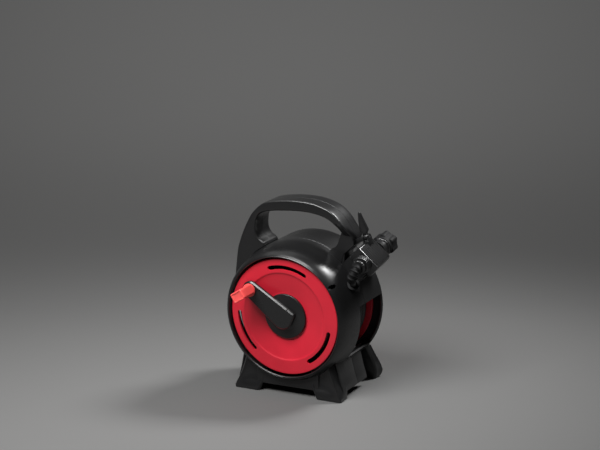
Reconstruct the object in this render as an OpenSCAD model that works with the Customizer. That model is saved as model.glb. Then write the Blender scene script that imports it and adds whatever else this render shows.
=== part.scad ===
// Compact hose reel: two-half housing with carry handle, crank-driven drum and stowed spray nozzle.
// Millimetres. X to the right seen from the front, +Y to the back, +Z up.
// Origin on the floor, below the drum axis, in the parting plane of the two housing halves.

/* [Housing] */
// Height of the drum axis above the floor
axis_h = 130; // [126:1:150]
// Outer radius of the housing wall
shell_r = 112; // [108:1:130]
// Depth of each housing half, from the parting plane to its lip
shell_half_d = 67; // [64:1:82]
// Wall thickness of the housing
shell_wall = 3; // [2:0.5:4]
// Radius of the round opening that shows the drum
mouth_r = 97; // [96:0.5:100]
// Radius of the opening at the back
rear_mouth_r = 88; // [84:1:92]
// Depth of the long round on the front edge
front_round_d = 60; // [30:1:64]
// Depth and width of the round on the rear edge
rear_round = 9; // [5:1:12]
// How far the side windows reach in front of the parting plane
window_front = 18; // [8:1:34]
// How far the side windows reach behind the parting plane
window_back = 61; // [29:1:61]
// Top edge of the side windows above the drum axis
window_up = 17; // [5:1:25]
// Bottom edge of the side windows below the drum axis
window_down = 68; // [50:1:72]

/* [Handle] */
// Depth of the carry handle, front to back
handle_d = 45; // [36:1:52]
// Radius of the handle's long edges
handle_edge_r = 6; // [3:0.5:7]

/* [Feet] */
// Distance from the middle to the outer side of a foot
foot_out = 95; // [90:1:105]
// Distance from the middle to the inner side of a foot
foot_in = 51; // [44:1:60]
// Distance from the parting plane to the front of a foot
foot_front = 61; // [56:1:66]
// Depth of a foot at the floor
foot_d = 26; // [20:1:30]
// Gap between the floor and the skirts between the feet
skirt_gap = 13; // [6:1:18]

/* [Drum] */
// Radius of the two flanges
flange_r = 94; // [88:1:94]
// Thickness of the flanges
flange_t = 3.5; // [2.5:0.5:4]
// How far the front flange sits behind the housing's lip
flange_recess = 5; // [3:0.5:7]
// Radius where the dish of the front flange begins
dish_r = 71; // [66:1:74]
// Depth of the dish
dish_d = 7; // [4:0.5:8]
// Radius of the slots' middle line
slot_r = 80; // [78:1:84]
// Width of a slot
slot_w = 7; // [5:0.5:8]
// Angle that a slot spans
slot_span = 45; // [30:1:60]
// Outer radius of the barrel
barrel_r = 45; // [44:1:50]

/* [Hose] */
// Outer diameter of the hose
hose_d = 10.5; // [9:0.5:11]
// Radius of the outer layer, at the middle of the hose
hose_layer_r = 82; // [70:0.5:84]
// Turns in the outer layer
hose_turns = 9; // [6:1:9]
// Distance from turn to turn
hose_pitch = 11.2; // [11.2:0.1:12]

/* [Crank] */
// Radius of the crank's round hub
crank_hub_r = 36; // [32:1:37]
// Distance from the drum axis to the knob
crank_r = 68; // [60:1:70]
// Angle of the arm, from +X, seen from the front
crank_angle = 144; // [0:1:359]
// Radius of the arm at the hub
arm_hub_r = 18.5; // [15:0.5:22]
// Radius of the arm at the knob
arm_knob_r = 13.5; // [13:0.5:16]
// Thickness of the arm
arm_t = 7.5; // [6:0.5:10]

/* [Knob] */
// Length of the knob
knob_l = 38; // [30:1:50]
// Radius of the knob
knob_r = 10.6; // [9:0.1:13]
// Distance from the knob's axis to its wide flat
knob_flat = 4.8; // [4.5:0.1:8]
// Distance from the knob's axis to the flat opposite
knob_low = 7.5; // [5:0.5:9]
// Angle that the wide flat faces
knob_turn = 55; // [0:1:359]
// Radius of the knob pin
knob_pin_r = 3; // [2:0.5:3.5]

/* [Spindle] */
// Outer radius of the fixed spindle
spindle_r = 11; // [10:0.5:12]
// Radius of the water bore
water_r = 6; // [4.5:0.5:6.5]
// Outer radius of the spigot's sealing land
spigot_r = 7; // [6.5:0.1:7.5]
// Running clearance on the spindle
run_gap = 0.06; // [0.02:0.01:0.1]

/* [Nozzle] */
// Distance from the middle to the nozzle's axis
nozzle_x = 120; // [118:1:126]
// Height of the nozzle's axis in the parting plane
nozzle_h = 222; // [218:1:240]
// Rise of the nozzle towards the back
nozzle_tilt = 8; // [0:1:12]
// Radius of the nozzle's round barrel
nozzle_r = 13.5; // [12:0.5:14]
// Radius of the spray ring between its lobes
ring_r = 16; // [15.5:0.5:18]
// Length of the spray ring
ring_l = 25; // [18:1:30]
// Length of the lever above its pin
lever_l = 41; // [30:1:44]
// Travel of the coupling collar
collar_travel = 3; // [2:0.5:3]

/* [Hidden] */
$fn = 96;
eps = 0.01;
seat = 0.1;
spider_gap = 0.04;

// Housing sections along the axis; f runs from the parting plane towards the front.
front_round_r = shell_r - mouth_r;
shell_in_r = shell_r - shell_wall;
round_steps = 10;
lip_f = shell_half_d;

// Drum sections along the axis
disc_f = lip_f - flange_recess;
dish_f = disc_f - dish_d;
plate_t = 3;
core_front_f = dish_f - plate_t;
rear_gap = 2.5;
rear_wall_t = 4;
rear_in_f = -(lip_f - rear_wall_t);
rear_flange_f = rear_in_f + rear_gap;
core_rear_f = rear_flange_f + flange_t;
barrel_t = 3;
dish_step = 1.5;

// Rear cup that holds the spindle and the inlet
cup_r = 33;
cup_floor_f = -45;
cup_floor_t = 3;
cup_gap = 1.5;
spoke_w = 30;
spoke_count = 3;

// Spindle, sleeve and bushes
bush_t = 2;
bush_l = 12;
sleeve_in_r = spindle_r + bush_t;
sleeve_t = 3;
sleeve_out_r = sleeve_in_r + sleeve_t;
spindle_flange_r = 22;
spindle_flange_t = 4;
spindle_rear_f = cup_floor_f;
spindle_seat_f = cup_floor_f + cup_floor_t;
thrust_t = 1.7;
thrust_gap = 0.15;
sleeve_rear_f = spindle_seat_f + spindle_flange_t + thrust_t + 2 * thrust_gap;
sleeve_front_f = core_front_f - 7;
washer_r = 15.5;
washer_t = 1.5;
spindle_front_f = sleeve_front_f + thrust_gap;
seal_wire_r = 1.35;
seal_f = 8;
seal_groove_w = 3;
seal_groove_r = spindle_r - 0.8;
port_r = 3.5;
web_t = 2.5;
web_count = 6;
core_plate_t = 4;
snap_r = 20;
snap_t = 2.5;
snap_gap = 0.2;
snap_lip = 0.9;
snap_pocket_r = snap_r + 2.5;
tail_r = 5;
tail_bore_r = 3.2;

// Screws
screw_r = 1.75;
screw_hole_gap = 0.1;
screw_head_r = 3.4;
screw_head_h = 2.2;
head_gap = 0.4;
boss_r = 4.8;
boss_ring_r = mouth_r + 5.8;
front_screw_angle = 34;
front_screw_f = 46;
rear_screw_angles = [146, 222, 318];
rear_screw_f = -52;
thread_l = 12;
flange_screw_ring_r = 28;
flange_screw_angles = [24, 144, 264];
rear_flange_screw_ring_r = 39;
rear_flange_screw_l = 10;
rear_boss_r = 4;
boss_relief = 0.6;
spindle_screw_ring_r = 17;
spindle_screw_l = 6;

// Inlet spigot
spigot_collar_r = 12.5;
spigot_collar_l = 6;
spigot_land_l = 11;
spigot_ridge_r = 8.7;
spigot_ridge_l = 3;
spigot_neck_r = 6.6;
spigot_neck_l = 6;
spigot_bore_r = 4.6;
spigot_tail_l = 10;
spigot_gap = 0.2;
spigot_seal_w = 1.2;

// Handle outline in front view, heights from the floor, from the left shoulder round to the right one
handle_raise = axis_h - 130;
handle_outer_ctrl = [
    [-111.8, 126], [-111.6, 150], [-110.4, 172], [-108, 190], [-104, 216], [-97, 238], [-87, 260],
    [-75, 280], [-63, 292], [-50, 300], [-30, 305], [-6, 307.6], [14, 308], [34, 306.4],
    [52, 302], [66, 296], [76, 288], [84, 279], [93, 265], [100, 251]
];
handle_outer_tail = [[87, 236], [82, 222], [80, 190], [40, 172], [-90, 126]];
handle_inner_ctrl = [
    [-69, 252], [-68.5, 264], [-66.5, 273], [-62, 279], [-54, 283.5], [-42, 286.4], [-24, 288.8], [-6, 290.3],
    [12, 291], [30, 290.2], [46, 287.6], [60, 283], [70, 276.5], [78, 266], [79, 254], [75, 240]
];
handle_inner_tail = [[72, 224], [60, 210], [0, 226], [-46, 215], [-54, 234], [-62, 239], [-67, 245]];
spline_steps = 3;
flare_past = 0.4;
// Shoulder below the handle's right leg, inner side first, then back along its outer side
shoulder_in = [[55, 228], [60.9, 233.7], [67.6, 237.9], [71.8, 243.7], [74.9, 252.8], [79, 262]];
shoulder_out = [[92, 262], [99, 249], [99.6, 242.2], [90.7, 234.4], [80.5, 225.3], [76, 208], [60, 205]];
shoulder_front = 11;
leg_lean = 30;
leg_from = 276;
face_trim = 0.05;

// Front foot: height, then how far the inner side, the ridge, the outer side, the front, the scoop of the
// front and the back lie from the foot's size at the floor
front_foot_levels = [
    [0, 1, -1, -1, 1, 0, 1], [1.2, 0, 0, 0, 0, 0, 0], [6, -2, -0.5, 0, 0, 0.5, 0],
    [12, -5, -3.5, 0, 0.8, 1.4, 1], [18, -7.5, -6.5, -1, 2, 2.4, 2], [28, -9.5, -11, -4, 3.5, 3, 4],
    [40, -11, -15.5, -7, 4, 3, 6], [56, -11, -21, -11, 4.5, 2, 9]
];
// Rear foot, in the same order; it stands behind the housing
rear_foot_levels = [
    [0, 1, -1, -1, -17, 0, -25], [1.2, 0, 0, 0, -18, 0, -26], [6, -2, 3, 1, -18, 0.3, -26],
    [12, -5, 5, 2, -17, 0.8, -25.5], [18, -7.5, 4.5, 2, -15.5, 1.4, -25],
    [28, -9.5, 2, 0, -12.5, 1.6, -23.5], [40, -11, -3, -4.5, -9, 1.4, -21], [56, -11, -9, -10, -5, 1, -17]
];
foot_side_d = 15;
foot_corner_r = 4;

// Skirt outline at the sides: height above its lower edge, distance inside the foot's outer side
skirt_curve = [[0, 0.3], [7, 1.5], [19, 5], [32, 8], [45, 11], [51, 12.5]];
skirt_back = 32;
skirt_t = 3;
band_front = 57.5;
band_t = 18;
band_h = 34;

// Hose winding and the lead to the nozzle
winding_sides = 6;
rings_per_turn = 24;
winding_start = 30;
layer_gap = 1.2;
winding_len = hose_turns * hose_pitch;
winding_mid_f = (core_front_f + core_rear_f) / 2 + 1;
pack_r = hose_layer_r - hose_d / 2 - layer_gap;
flange_gap = 0.4;
guide_gap = 0.4;
guide_t = 2.5;
guide_from = 22;
guide_to = 44;
guide_collar_l = 3;
guide_collar_t = 1.8;
lead_l = 52;

// Nozzle sections along its axis; z runs towards the front, the round barrel lies behind the block.
block_front = 20;
block_back = -26;
block_angle = 46;
block_up = 13;
block_right = 22;
block_left = 22;
block_corner = 4.5;
holder_low = 12;
barrel_back = -66;
ring_front = -44;
lobe_count = 6;
lobe_r = 5;
lobe_ring_r = ring_r - 2.5;
spray_core_t = 3;
spray_hole_r = 0.9;
spray_rings = [[4, 6], [8.5, 12]];
pad_t = 2.6;
pad_w = 27;
pad_rib = 1.2;
pad_ribs = 9;
pad_seat = 0.4;
pad_mid = (block_left - block_right) / 2;
coupling_r = 9.4;
collar_r = 13.5;
collar_front = 31;
collar_gap = 0.5;
collar_ribs = [block_front + 3, block_front + 6.5];
collar_rib_h = 0.8;
collar_rib_w = 1.6;
nut_front = 38;
nut_back = collar_front + collar_travel + collar_gap;
nut_r = 10.8;
nut_flutes = 12;
flute_r = 1.2;
elbow_r = 12;
elbow_turn = 135;
elbow_dir = -113.6;
elbow_tube_r = 6.6;
elbow_rib_r = 8.2;
elbow_rib_turn = 11;
elbow_ribs = [20, 43, 66, 89];
lever_x = -7;
lever_y = 30;
lever_z = -11;
lever_lean = 14;
lever_t = 7;
blade_w = 7.5;
blade_tip = 2.2;
blade_from = 7;
lever_hub_r = 4.6;
lever_pin_r = 1.5;
lever_pin_gap = 0.05;
ear_t = 2.4;
ear_gap = 0.35;
ear_r = 5.2;
ear_drop = 12;
ear_d = 11;
holder_front = 12;
holder_back = -16;
holder_side_gap = 2;
holder_lip = 7;
holder_lip_t = 3;
holder_window = 11;
holder_clear = 0.3;

// Colours
black_plastic = [0.16, 0.16, 0.165];
soft_black = [0.1, 0.1, 0.105];
drum_red = [0.75, 0.18, 0.23];
knob_red = [0.92, 0.33, 0.31];
hose_black = [0.13, 0.13, 0.135];
steel = [0.7, 0.71, 0.73];
seal_black = [0.06, 0.06, 0.06];
natural_plastic = [0.82, 0.82, 0.8];

// Curves

// Point of a smooth curve through b and c, with neighbours a and d
function curve_pt(a, b, c, d, t) =
    0.5 * (2 * b + (c - a) * t + (2 * a - 5 * b + 4 * c - d) * t * t + (3 * b - a - 3 * c + d) * t * t * t);

// Smooth curve through the control points
function curve(p, n) = concat(
    [for (i = [0 : len(p) - 2]) for (k = [0 : n - 1])
        curve_pt(p[max(i - 1, 0)], p[i], p[i + 1], p[min(i + 2, len(p) - 1)], k / n)],
    [p[len(p) - 1]]);

function flip(p) = [for (i = [len(p) - 1 : -1 : 0]) p[i]];

// Outline moved out along its own normals; the points run counter-clockwise
function moved_out(p, d) = [for (i = [0 : len(p) - 1])
    let (n = len(p), t = p[(i + 1) % n] - p[(i + n - 1) % n], l = norm(t))
    p[i] + d * [t.y, -t.x] / l];

// Closed skin over rings of equal count, first ring at the bottom, points counter-clockwise from the top
module skin(rings) {
    n = len(rings[0]);
    m = len(rings);
    polyhedron(
        points = [for (r = rings) for (p = r) p],
        faces = concat(
            [[for (i = [0 : n - 1]) i]],
            [[for (i = [n - 1 : -1 : 0]) (m - 1) * n + i]],
            [for (j = [0 : m - 2]) for (i = [0 : n - 1])
                [j * n + i, (j + 1) * n + i, (j + 1) * n + (i + 1) % n]],
            [for (j = [0 : m - 2]) for (i = [0 : n - 1])
                [j * n + i, (j + 1) * n + (i + 1) % n, j * n + (i + 1) % n]]));
}

// Slab from z = 0 to depth, towards the front (way 1) or the back (way -1), with a round on its far edge;
// side 1 rounds the edge off, -1 flares it
module rounded_slab(outline, depth, edge_r, side, past, way) {
    steps = [for (a = [0 : 22.5 : 90]) [depth - edge_r + edge_r * sin(a), edge_r * (1 - cos(a))]];
    all_steps = concat([[-past, 0]], steps, [[depth + past, edge_r]]);
    rings = [for (s = all_steps) [for (p = moved_out(outline, -side * s[1])) [p.x, p.y, way * s[0]]]];
    skin(way > 0 ? rings : flip(rings));
}

// Frames

// Front view: x right, y up from the drum axis, z towards the front
module facing() {
    translate([0, 0, axis_h])
        rotate([90, 0, 0])
            children();
}

// Nozzle: x right, y up, z along its axis towards the front
module nozzle_frame() {
    translate([nozzle_x, 0, nozzle_h])
        rotate([90 + nozzle_tilt, 0, 0])
            children();
}

// Hose lead: z along the hose, from the end of the bend into the housing
module lead_frame() {
    nozzle_frame()
        translate([0, 0, nut_front])
            rotate([0, 0, elbow_dir])
                translate([elbow_r * (1 - cos(elbow_turn)), 0, elbow_r * sin(elbow_turn)])
                    rotate([0, elbow_turn, 0])
                        children();
}

// Lever: x along the pin, y up the lever, z towards the front
module lever_frame() {
    nozzle_frame()
        translate([lever_x, lever_y, lever_z])
            rotate([0, 0, lever_lean])
                children();
}

module ring(r_out, r_in, f_low, f_high) {
    translate([0, 0, f_low])
        difference() {
            cylinder(r = r_out, h = f_high - f_low);
            translate([0, 0, -eps])
                cylinder(r = r_in, h = f_high - f_low + 2 * eps);
        }
}

// Copies at an angle and radius round the drum axis
module around(angles, r) {
    for (a = angles)
        rotate([0, 0, a])
            translate([r, 0, 0])
                children();
}

// Screw whose head rests at z = 0 and whose shank runs down
module screw(shank_l) {
    cylinder(r = screw_head_r, h = screw_head_h);
    translate([0, 0, -shank_l])
        cylinder(r = screw_r, h = shank_l);
}

// Housing

// Quarter round of the front edge, as radius and f
function front_round(inset) = [for (i = [0 : round_steps])
    let (t = 90 * i / round_steps)
    [mouth_r + (front_round_r - inset) * sin(t), lip_f - front_round_d + (front_round_d - inset) * cos(t)]];

// Quarter round of the rear edge, as radius and f
function rear_edge(inset_r, inset_f) = [for (i = [0 : round_steps])
    let (t = 90 * i / round_steps)
    [shell_r - rear_round + (rear_round - inset_r) * sin(t),
        -lip_f + rear_round - (rear_round - inset_f) * cos(t)]];

module front_space() {
    rotate_extrude()
        polygon(concat([[0, -5]], [[shell_in_r, -5]], flip(front_round(shell_wall)), [[mouth_r, lip_f + 1]],
            [[0, lip_f + 1]]));
}

module rear_space() {
    rotate_extrude()
        polygon(concat([[0, 5]], [[0, -lip_f - 1]], [[rear_mouth_r, -lip_f - 1]], [[rear_mouth_r, rear_in_f]],
            rear_edge(shell_wall, rear_wall_t), [[shell_in_r, 5]]));
}

// Upright part of the handle on one side of the parting plane
module handle_half(way) {
    outer = flip(concat(curve(handle_outer_ctrl, spline_steps), handle_outer_tail));
    inner = flip(concat(curve(handle_inner_ctrl, spline_steps), handle_inner_tail));
    drop = [0, handle_raise - axis_h];
    difference() {
        rounded_slab([for (p = outer) p + drop], handle_d / 2, handle_edge_r, 1, 2, way);
        rounded_slab([for (p = inner) p + drop], handle_d / 2 + flare_past, handle_edge_r / 2, -1, 3, way);
        translate([-2 * shell_r, -axis_h,
            way > 0 ? handle_d / 2 - face_trim : -lip_f - handle_d / 2 + face_trim])
            cube([4 * shell_r, 3 * axis_h, lip_f]);
        if (way > 0)
            leg_relief();
    }
}

// Space in front of the handle's right leg, which falls back towards the shoulder
module leg_relief() {
    run = (handle_d / 2 - shoulder_front) / tan(leg_lean);
    translate([shoulder_in[0].x, leg_from - axis_h + handle_raise, 0])
        rotate([0, 90, 0])
            linear_extrude(shell_r)
                polygon([[-handle_d / 2, 0], [-shoulder_front, -run], [-shoulder_front, -leg_from / 2],
                    [-lip_f, -leg_from / 2], [-lip_f, 0]]);
}

// Section of a foot: scooped front, ridge at its outer corner, flared side behind the ridge
function foot_section(l) =
    let (x0 = foot_in + l[1], xr = foot_out + l[2], x1 = foot_out + l[3], z1 = foot_front - l[4],
        z0 = foot_front - foot_d - l[6], side = min(foot_side_d, z1 - z0 - foot_corner_r - 1),
        r = foot_corner_r, q = [0, 45, 90])
    concat(
        [[x1, z1 - side], [xr + 0.6, z1 - r / 2]],
        [[xr - r / 2, z1], [(x0 + 2 * xr) / 3, z1 - l[5]], [(x0 + xr) / 2, z1 - 1.2 * l[5]],
            [(2 * x0 + xr) / 3, z1 - l[5]]],
        [for (a = q) [x0 + r - r * sin(a), z1 - r + r * cos(a)]],
        [for (a = q) [x0 + r - r * cos(a), z0 + r - r * sin(a)]],
        [for (a = [0, 45]) [x1 - r + r * sin(a), z0 + r - r * cos(a)]],
        [[x1, z0 + r]]);

// Flared foot with scooped faces, in the front view's frame: right or left (hand), front or back (way)
module foot(hand, way) {
    levels = way > 0 ? front_foot_levels : rear_foot_levels;
    rings = [for (l = levels) [for (p = foot_section(l)) [hand * p.x, l[0] - axis_h, way * p.y]]];
    skin(hand * way > 0 ? flip(rings) : rings);
}

// Skirt at one side between the feet
module side_skirt(way) {
    outer = [for (s = skirt_curve) [foot_out - s[1], skirt_gap + s[0] - axis_h]];
    inner = [for (s = flip(skirt_curve)) [foot_out - s[1] - skirt_t, skirt_gap + s[0] - axis_h]];
    depth = way > 0 ? foot_front - foot_d / 2 : skirt_back;
    translate([0, 0, way > 0 ? -2 : -depth])
        linear_extrude(depth + 2)
            polygon(concat(outer, inner));
}

// Everything that stands outside the round wall, for the front half (way 1) or the rear half (way -1)
module outworks(way) {
    handle_half(way);
    for (s = [0, 1]) {
        foot(1 - 2 * s, way);
        mirror([s, 0, 0])
            side_skirt(way);
    }
    translate([-foot_in - foot_corner_r, skirt_gap - axis_h, way > 0 ? band_front - band_t : -band_front])
        cube([2 * (foot_in + foot_corner_r), band_h, band_t]);
    translate([0, handle_raise - axis_h, way > 0 ? -2 : -handle_d / 2])
        linear_extrude(way > 0 ? shoulder_front + 2 : handle_d / 2 + 2)
            polygon(concat(curve(shoulder_in, spline_steps), shoulder_out));
}

// Everything in front of the parting plane (way 1) or behind it (way -1)
module parting_cut(way) {
    translate([-2 * shell_r, -2 * shell_r, way > 0 ? 0 : -lip_f])
        cube([4 * shell_r, 4 * shell_r, lip_f]);
}

module window_cut(f_low, f_high) {
    for (s = [0, 1])
        mirror([s, 0, 0])
            translate([shell_r / 2, -window_down, f_low])
                cube([shell_r, window_up + window_down, f_high - f_low]);
}

module screw_bosses(angles, f_low, f_high) {
    around(angles, boss_ring_r)
        translate([0, 0, f_low])
            cylinder(r = boss_r, h = f_high - f_low);
}

module screw_holes(angles, f_low, f_high) {
    around(angles, boss_ring_r)
        translate([0, 0, f_low])
            cylinder(r = screw_r + screw_hole_gap, h = f_high - f_low);
}

module head_pockets(angles, f_low, f_high) {
    around(angles, boss_ring_r)
        translate([0, 0, f_low])
            cylinder(r = screw_head_r + head_gap, h = f_high - f_low);
}

module front_shell() {
    color(black_plastic)
        facing()
            difference() {
                union() {
                    difference() {
                        union() {
                            rotate_extrude()
                                polygon(concat([[mouth_r - 1, -1]], [[shell_r, -1]], flip(front_round(0)),
                                    [[mouth_r - 1, lip_f]]));
                            outworks(1);
                        }
                        front_space();
                        window_cut(-5, window_front);
                        parting_cut(-1);
                    }
                    intersection() {
                        front_space();
                        union() {
                            screw_bosses([front_screw_angle], 0, front_screw_f + 6);
                            screw_bosses(rear_screw_angles, 0, thread_l + 4);
                        }
                    }
                    front_boss_roots();
                }
                head_pockets([front_screw_angle], front_screw_f, lip_f + 1);
                screw_holes([front_screw_angle], -1, front_screw_f + 1);
                screw_holes(rear_screw_angles, -1, thread_l);
                lead_hole();
            }
}

// Ribs that tie the screw bosses to the wall
module front_boss_roots() {
    around(rear_screw_angles, boss_ring_r)
        translate([0, -web_t / 2, 0])
            cube([shell_in_r - boss_ring_r + shell_wall / 2, web_t, thread_l + 4]);
}

module rear_boss_roots() {
    around([front_screw_angle], boss_ring_r)
        translate([0, -web_t / 2, -thread_l - 4])
            cube([shell_in_r - boss_ring_r + shell_wall / 2, web_t, thread_l + 4]);
}

// The hole for the hose guide, cut in the front view's frame
module lead_hole() {
    rotate([-90, 0, 0])
        translate([0, 0, -axis_h])
            lead_frame()
                cylinder(r = hose_d / 2 + guide_gap + guide_t, h = lead_l + 30);
}

// Cup and spokes at the back that carry the spindle, seated in the rear opening
module rear_spider() {
    color(black_plastic)
        facing()
            difference() {
                union() {
                    rotate_extrude()
                        polygon([[spindle_r + seat, cup_floor_f], [cup_r - shell_wall, cup_floor_f],
                            [cup_r - shell_wall, -lip_f], [cup_r, -lip_f], [cup_r, spindle_seat_f],
                            [spindle_r + seat, spindle_seat_f]]);
                    intersection() {
                        for (i = [0 : spoke_count - 1])
                            rotate([0, 0, 90 + 360 * i / spoke_count])
                                translate([cup_r - shell_wall / 2, -spoke_w / 2, -lip_f])
                                    cube([rear_mouth_r - cup_r + shell_wall, spoke_w, rear_wall_t]);
                        translate([0, 0, -2 * lip_f])
                            cylinder(r = rear_mouth_r - spider_gap, h = 2 * lip_f);
                    }
                }
                around([45, 135, 225, 315], spindle_screw_ring_r)
                    translate([0, 0, cup_floor_f - 1])
                        cylinder(r = screw_r + screw_hole_gap, h = cup_floor_t + 2);
            }
}

module rear_shell() {
    color(black_plastic)
        facing()
            difference() {
                union() {
                    difference() {
                        union() {
                            rotate_extrude()
                                polygon(concat([[rear_mouth_r - 1, 1]], [[rear_mouth_r - 1, -lip_f]],
                                    rear_edge(0, 0),
                                    [[shell_r, 1]]));
                            outworks(-1);
                        }
                        rear_space();
                        window_cut(-window_back, 5);
                        parting_cut(1);
                    }
                    screw_bosses(rear_screw_angles, rear_in_f - 1, 0);
                    screw_bosses([front_screw_angle], -thread_l - 4, 0);
                    rear_boss_roots();
                }
                head_pockets(rear_screw_angles, -lip_f - 1, rear_screw_f);
                screw_holes(rear_screw_angles, rear_screw_f - 1, 1);
                screw_holes([front_screw_angle], -thread_l, 1);
            }
}

module case_screws() {
    color(steel)
        facing() {
            around([front_screw_angle], boss_ring_r)
                translate([0, 0, front_screw_f])
                    screw(front_screw_f + thread_l - 2);
            around(rear_screw_angles, boss_ring_r)
                translate([0, 0, rear_screw_f])
                    mirror([0, 0, 1])
                        screw(thread_l - 2 - rear_screw_f);
        }
}

// Spindle and inlet

module spindle() {
    color(natural_plastic)
        facing()
            difference() {
                union() {
                    translate([0, 0, spindle_rear_f])
                        cylinder(r = spindle_r, h = spindle_front_f - spindle_rear_f);
                    translate([0, 0, spindle_seat_f])
                        cylinder(r = spindle_flange_r, h = spindle_flange_t);
                }
                translate([0, 0, spindle_rear_f - 1])
                    cylinder(r = water_r, h = seal_f - spindle_rear_f);
                rotate([90, 0, 0])
                    translate([0, 0, -spindle_r - 1])
                        cylinder(r = port_r, h = 2 * spindle_r + 2);
                for (s = [-1, 1])
                    ring(spindle_r + 1, seal_groove_r, s * seal_f - seal_groove_w / 2,
                        s * seal_f + seal_groove_w / 2);
                translate([0, 0, spindle_front_f - thread_l])
                    cylinder(r = screw_r, h = thread_l + 1);
                around([45, 135, 225, 315], spindle_screw_ring_r)
                    translate([0, 0, spindle_seat_f - 1])
                        cylinder(r = screw_r, h = spindle_flange_t);
            }
}

module spindle_screws() {
    color(steel)
        facing()
            around([45, 135, 225, 315], spindle_screw_ring_r)
                translate([0, 0, cup_floor_f])
                    mirror([0, 0, 1])
                        screw(spindle_screw_l - eps);
}

module spindle_seals() {
    color(seal_black)
        facing()
            for (s = [-1, 1])
                translate([0, 0, s * seal_f])
                    rotate_extrude()
                        translate([sleeve_in_r - run_gap - seal_wire_r, 0])
                            circle(r = seal_wire_r, $fn = 32);
}

module thrust_washer() {
    color(natural_plastic)
        facing()
            translate([0, 0, spindle_seat_f + spindle_flange_t + thrust_gap])
                ring(sleeve_out_r, spindle_r + run_gap, 0, thrust_t);
}

module retaining_washer() {
    color(steel)
        facing()
            ring(washer_r, screw_r + screw_hole_gap, spindle_front_f, spindle_front_f + washer_t);
}

module retaining_screw() {
    color(steel)
        facing()
            translate([0, 0, spindle_front_f + washer_t])
                screw(thread_l - 1);
}

module inlet_spigot() {
    collar_f = cup_floor_f - spigot_gap;
    neck_f = collar_f - spigot_collar_l;
    ridge_f = neck_f - spigot_neck_l;
    land_f = ridge_f - spigot_ridge_l;
    tip_f = land_f - spigot_land_l;
    groove_f = land_f - spigot_land_l / 2;
    groove_r = spigot_r - spigot_seal_w;
    color(black_plastic)
        facing()
            rotate_extrude()
                polygon([[spigot_bore_r, tip_f], [spigot_r, tip_f], [spigot_r, groove_f - spigot_seal_w],
                    [groove_r, groove_f - spigot_seal_w], [groove_r, groove_f + spigot_seal_w],
                    [spigot_r, groove_f + spigot_seal_w], [spigot_r, land_f], [spigot_ridge_r, land_f],
                    [spigot_ridge_r, ridge_f], [spigot_neck_r, ridge_f], [spigot_neck_r, neck_f],
                    [spigot_collar_r, neck_f], [spigot_collar_r, collar_f], [water_r, collar_f],
                    [water_r, collar_f + spigot_tail_l], [spigot_bore_r, collar_f + spigot_tail_l]]);
}

module inlet_seal() {
    seal_mid_f = cup_floor_f - spigot_gap - spigot_collar_l - spigot_neck_l - spigot_ridge_l
        - spigot_land_l / 2;
    color(seal_black)
        facing()
            translate([0, 0, seal_mid_f])
                rotate_extrude()
                    translate([spigot_r - spigot_seal_w / 2 - eps, 0])
                        circle(r = spigot_seal_w / 2 - 2 * eps, $fn = 32);
}

// Hose outside the drum

module hose_guide() {
    bore = hose_d / 2 + guide_gap;
    color(soft_black)
        lead_frame() {
            ring(bore + guide_t - seat, bore, guide_from, guide_to);
            ring(bore + guide_t + guide_collar_t, bore, guide_from - guide_collar_l, guide_from);
        }
}

module hose_lead() {
    color(hose_black)
        lead_frame()
            cylinder(r = hose_d / 2, h = lead_l);
}

module hose_elbow() {
    color(black_plastic)
        nozzle_frame()
            translate([0, 0, nut_front])
                rotate([0, 0, elbow_dir])
                    translate([elbow_r, 0, 0])
                        rotate([90, 0, 0]) {
                            rotate([0, 0, 180 - elbow_turn])
                                rotate_extrude(angle = elbow_turn)
                                    translate([elbow_r, 0])
                                        circle(r = elbow_tube_r, $fn = 48);
                            for (a = elbow_ribs)
                                rotate([0, 0, 180 - a])
                                    rotate_extrude(angle = elbow_rib_turn)
                                        translate([elbow_r, 0])
                                            circle(r = elbow_rib_r, $fn = 48);
                        }
}

// Nozzle

// Section of the nozzle's block, its flat facing up and to the right
module block_outline(grow) {
    rotate([0, 0, block_angle])
        translate([-block_up - grow, -block_right - grow])
            square([2 * (block_up + grow), block_right + block_left + 2 * grow]);
}

module nozzle_body() {
    color(black_plastic)
        nozzle_frame()
            difference() {
                union() {
                    translate([0, 0, block_back])
                        linear_extrude(block_front - block_back)
                            intersection() {
                                block_outline(0);
                                circle(r = block_left + block_corner / 3);
                            }
                    translate([0, 0, barrel_back])
                        cylinder(r = nozzle_r, h = block_back - barrel_back + 1);
                    translate([0, 0, ring_front + 0.5])
                        cylinder(r = nozzle_r + 2, h = 3);
                    translate([lever_x, lever_y, lever_z])
                        rotate([0, 0, lever_lean])
                            lever_ears();
                }
                rotate([0, 0, block_angle])
                    translate([block_up - pad_seat, pad_mid - pad_w / 2, block_back + 4])
                        cube([pad_t, pad_w, block_front - block_back - 8]);
                translate([lever_x, lever_y, lever_z])
                    rotate([0, 0, lever_lean])
                        lever_slot();
                translate([lever_x, lever_y, lever_z])
                    rotate([0, 0, lever_lean])
                        rotate([0, 90, 0])
                            translate([0, 0, -lever_t])
                                cylinder(r = lever_pin_r, h = 2 * lever_t);
            }
}

// Two ears that hold the lever's pin
module lever_ears() {
    half_w = lever_t / 2 + ear_gap + ear_t;
    translate([-half_w, -ear_drop, -ear_d / 2])
        cube([2 * half_w, ear_drop, ear_d]);
    rotate([0, 90, 0])
        translate([0, 0, -half_w])
            cylinder(r = ear_r, h = 2 * half_w);
}

module lever_slot() {
    half_w = lever_t / 2 + ear_gap;
    translate([-half_w, -lever_hub_r - ear_gap, -ear_d])
        cube([2 * half_w, 3 * lever_hub_r, 2 * ear_d]);
}

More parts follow.
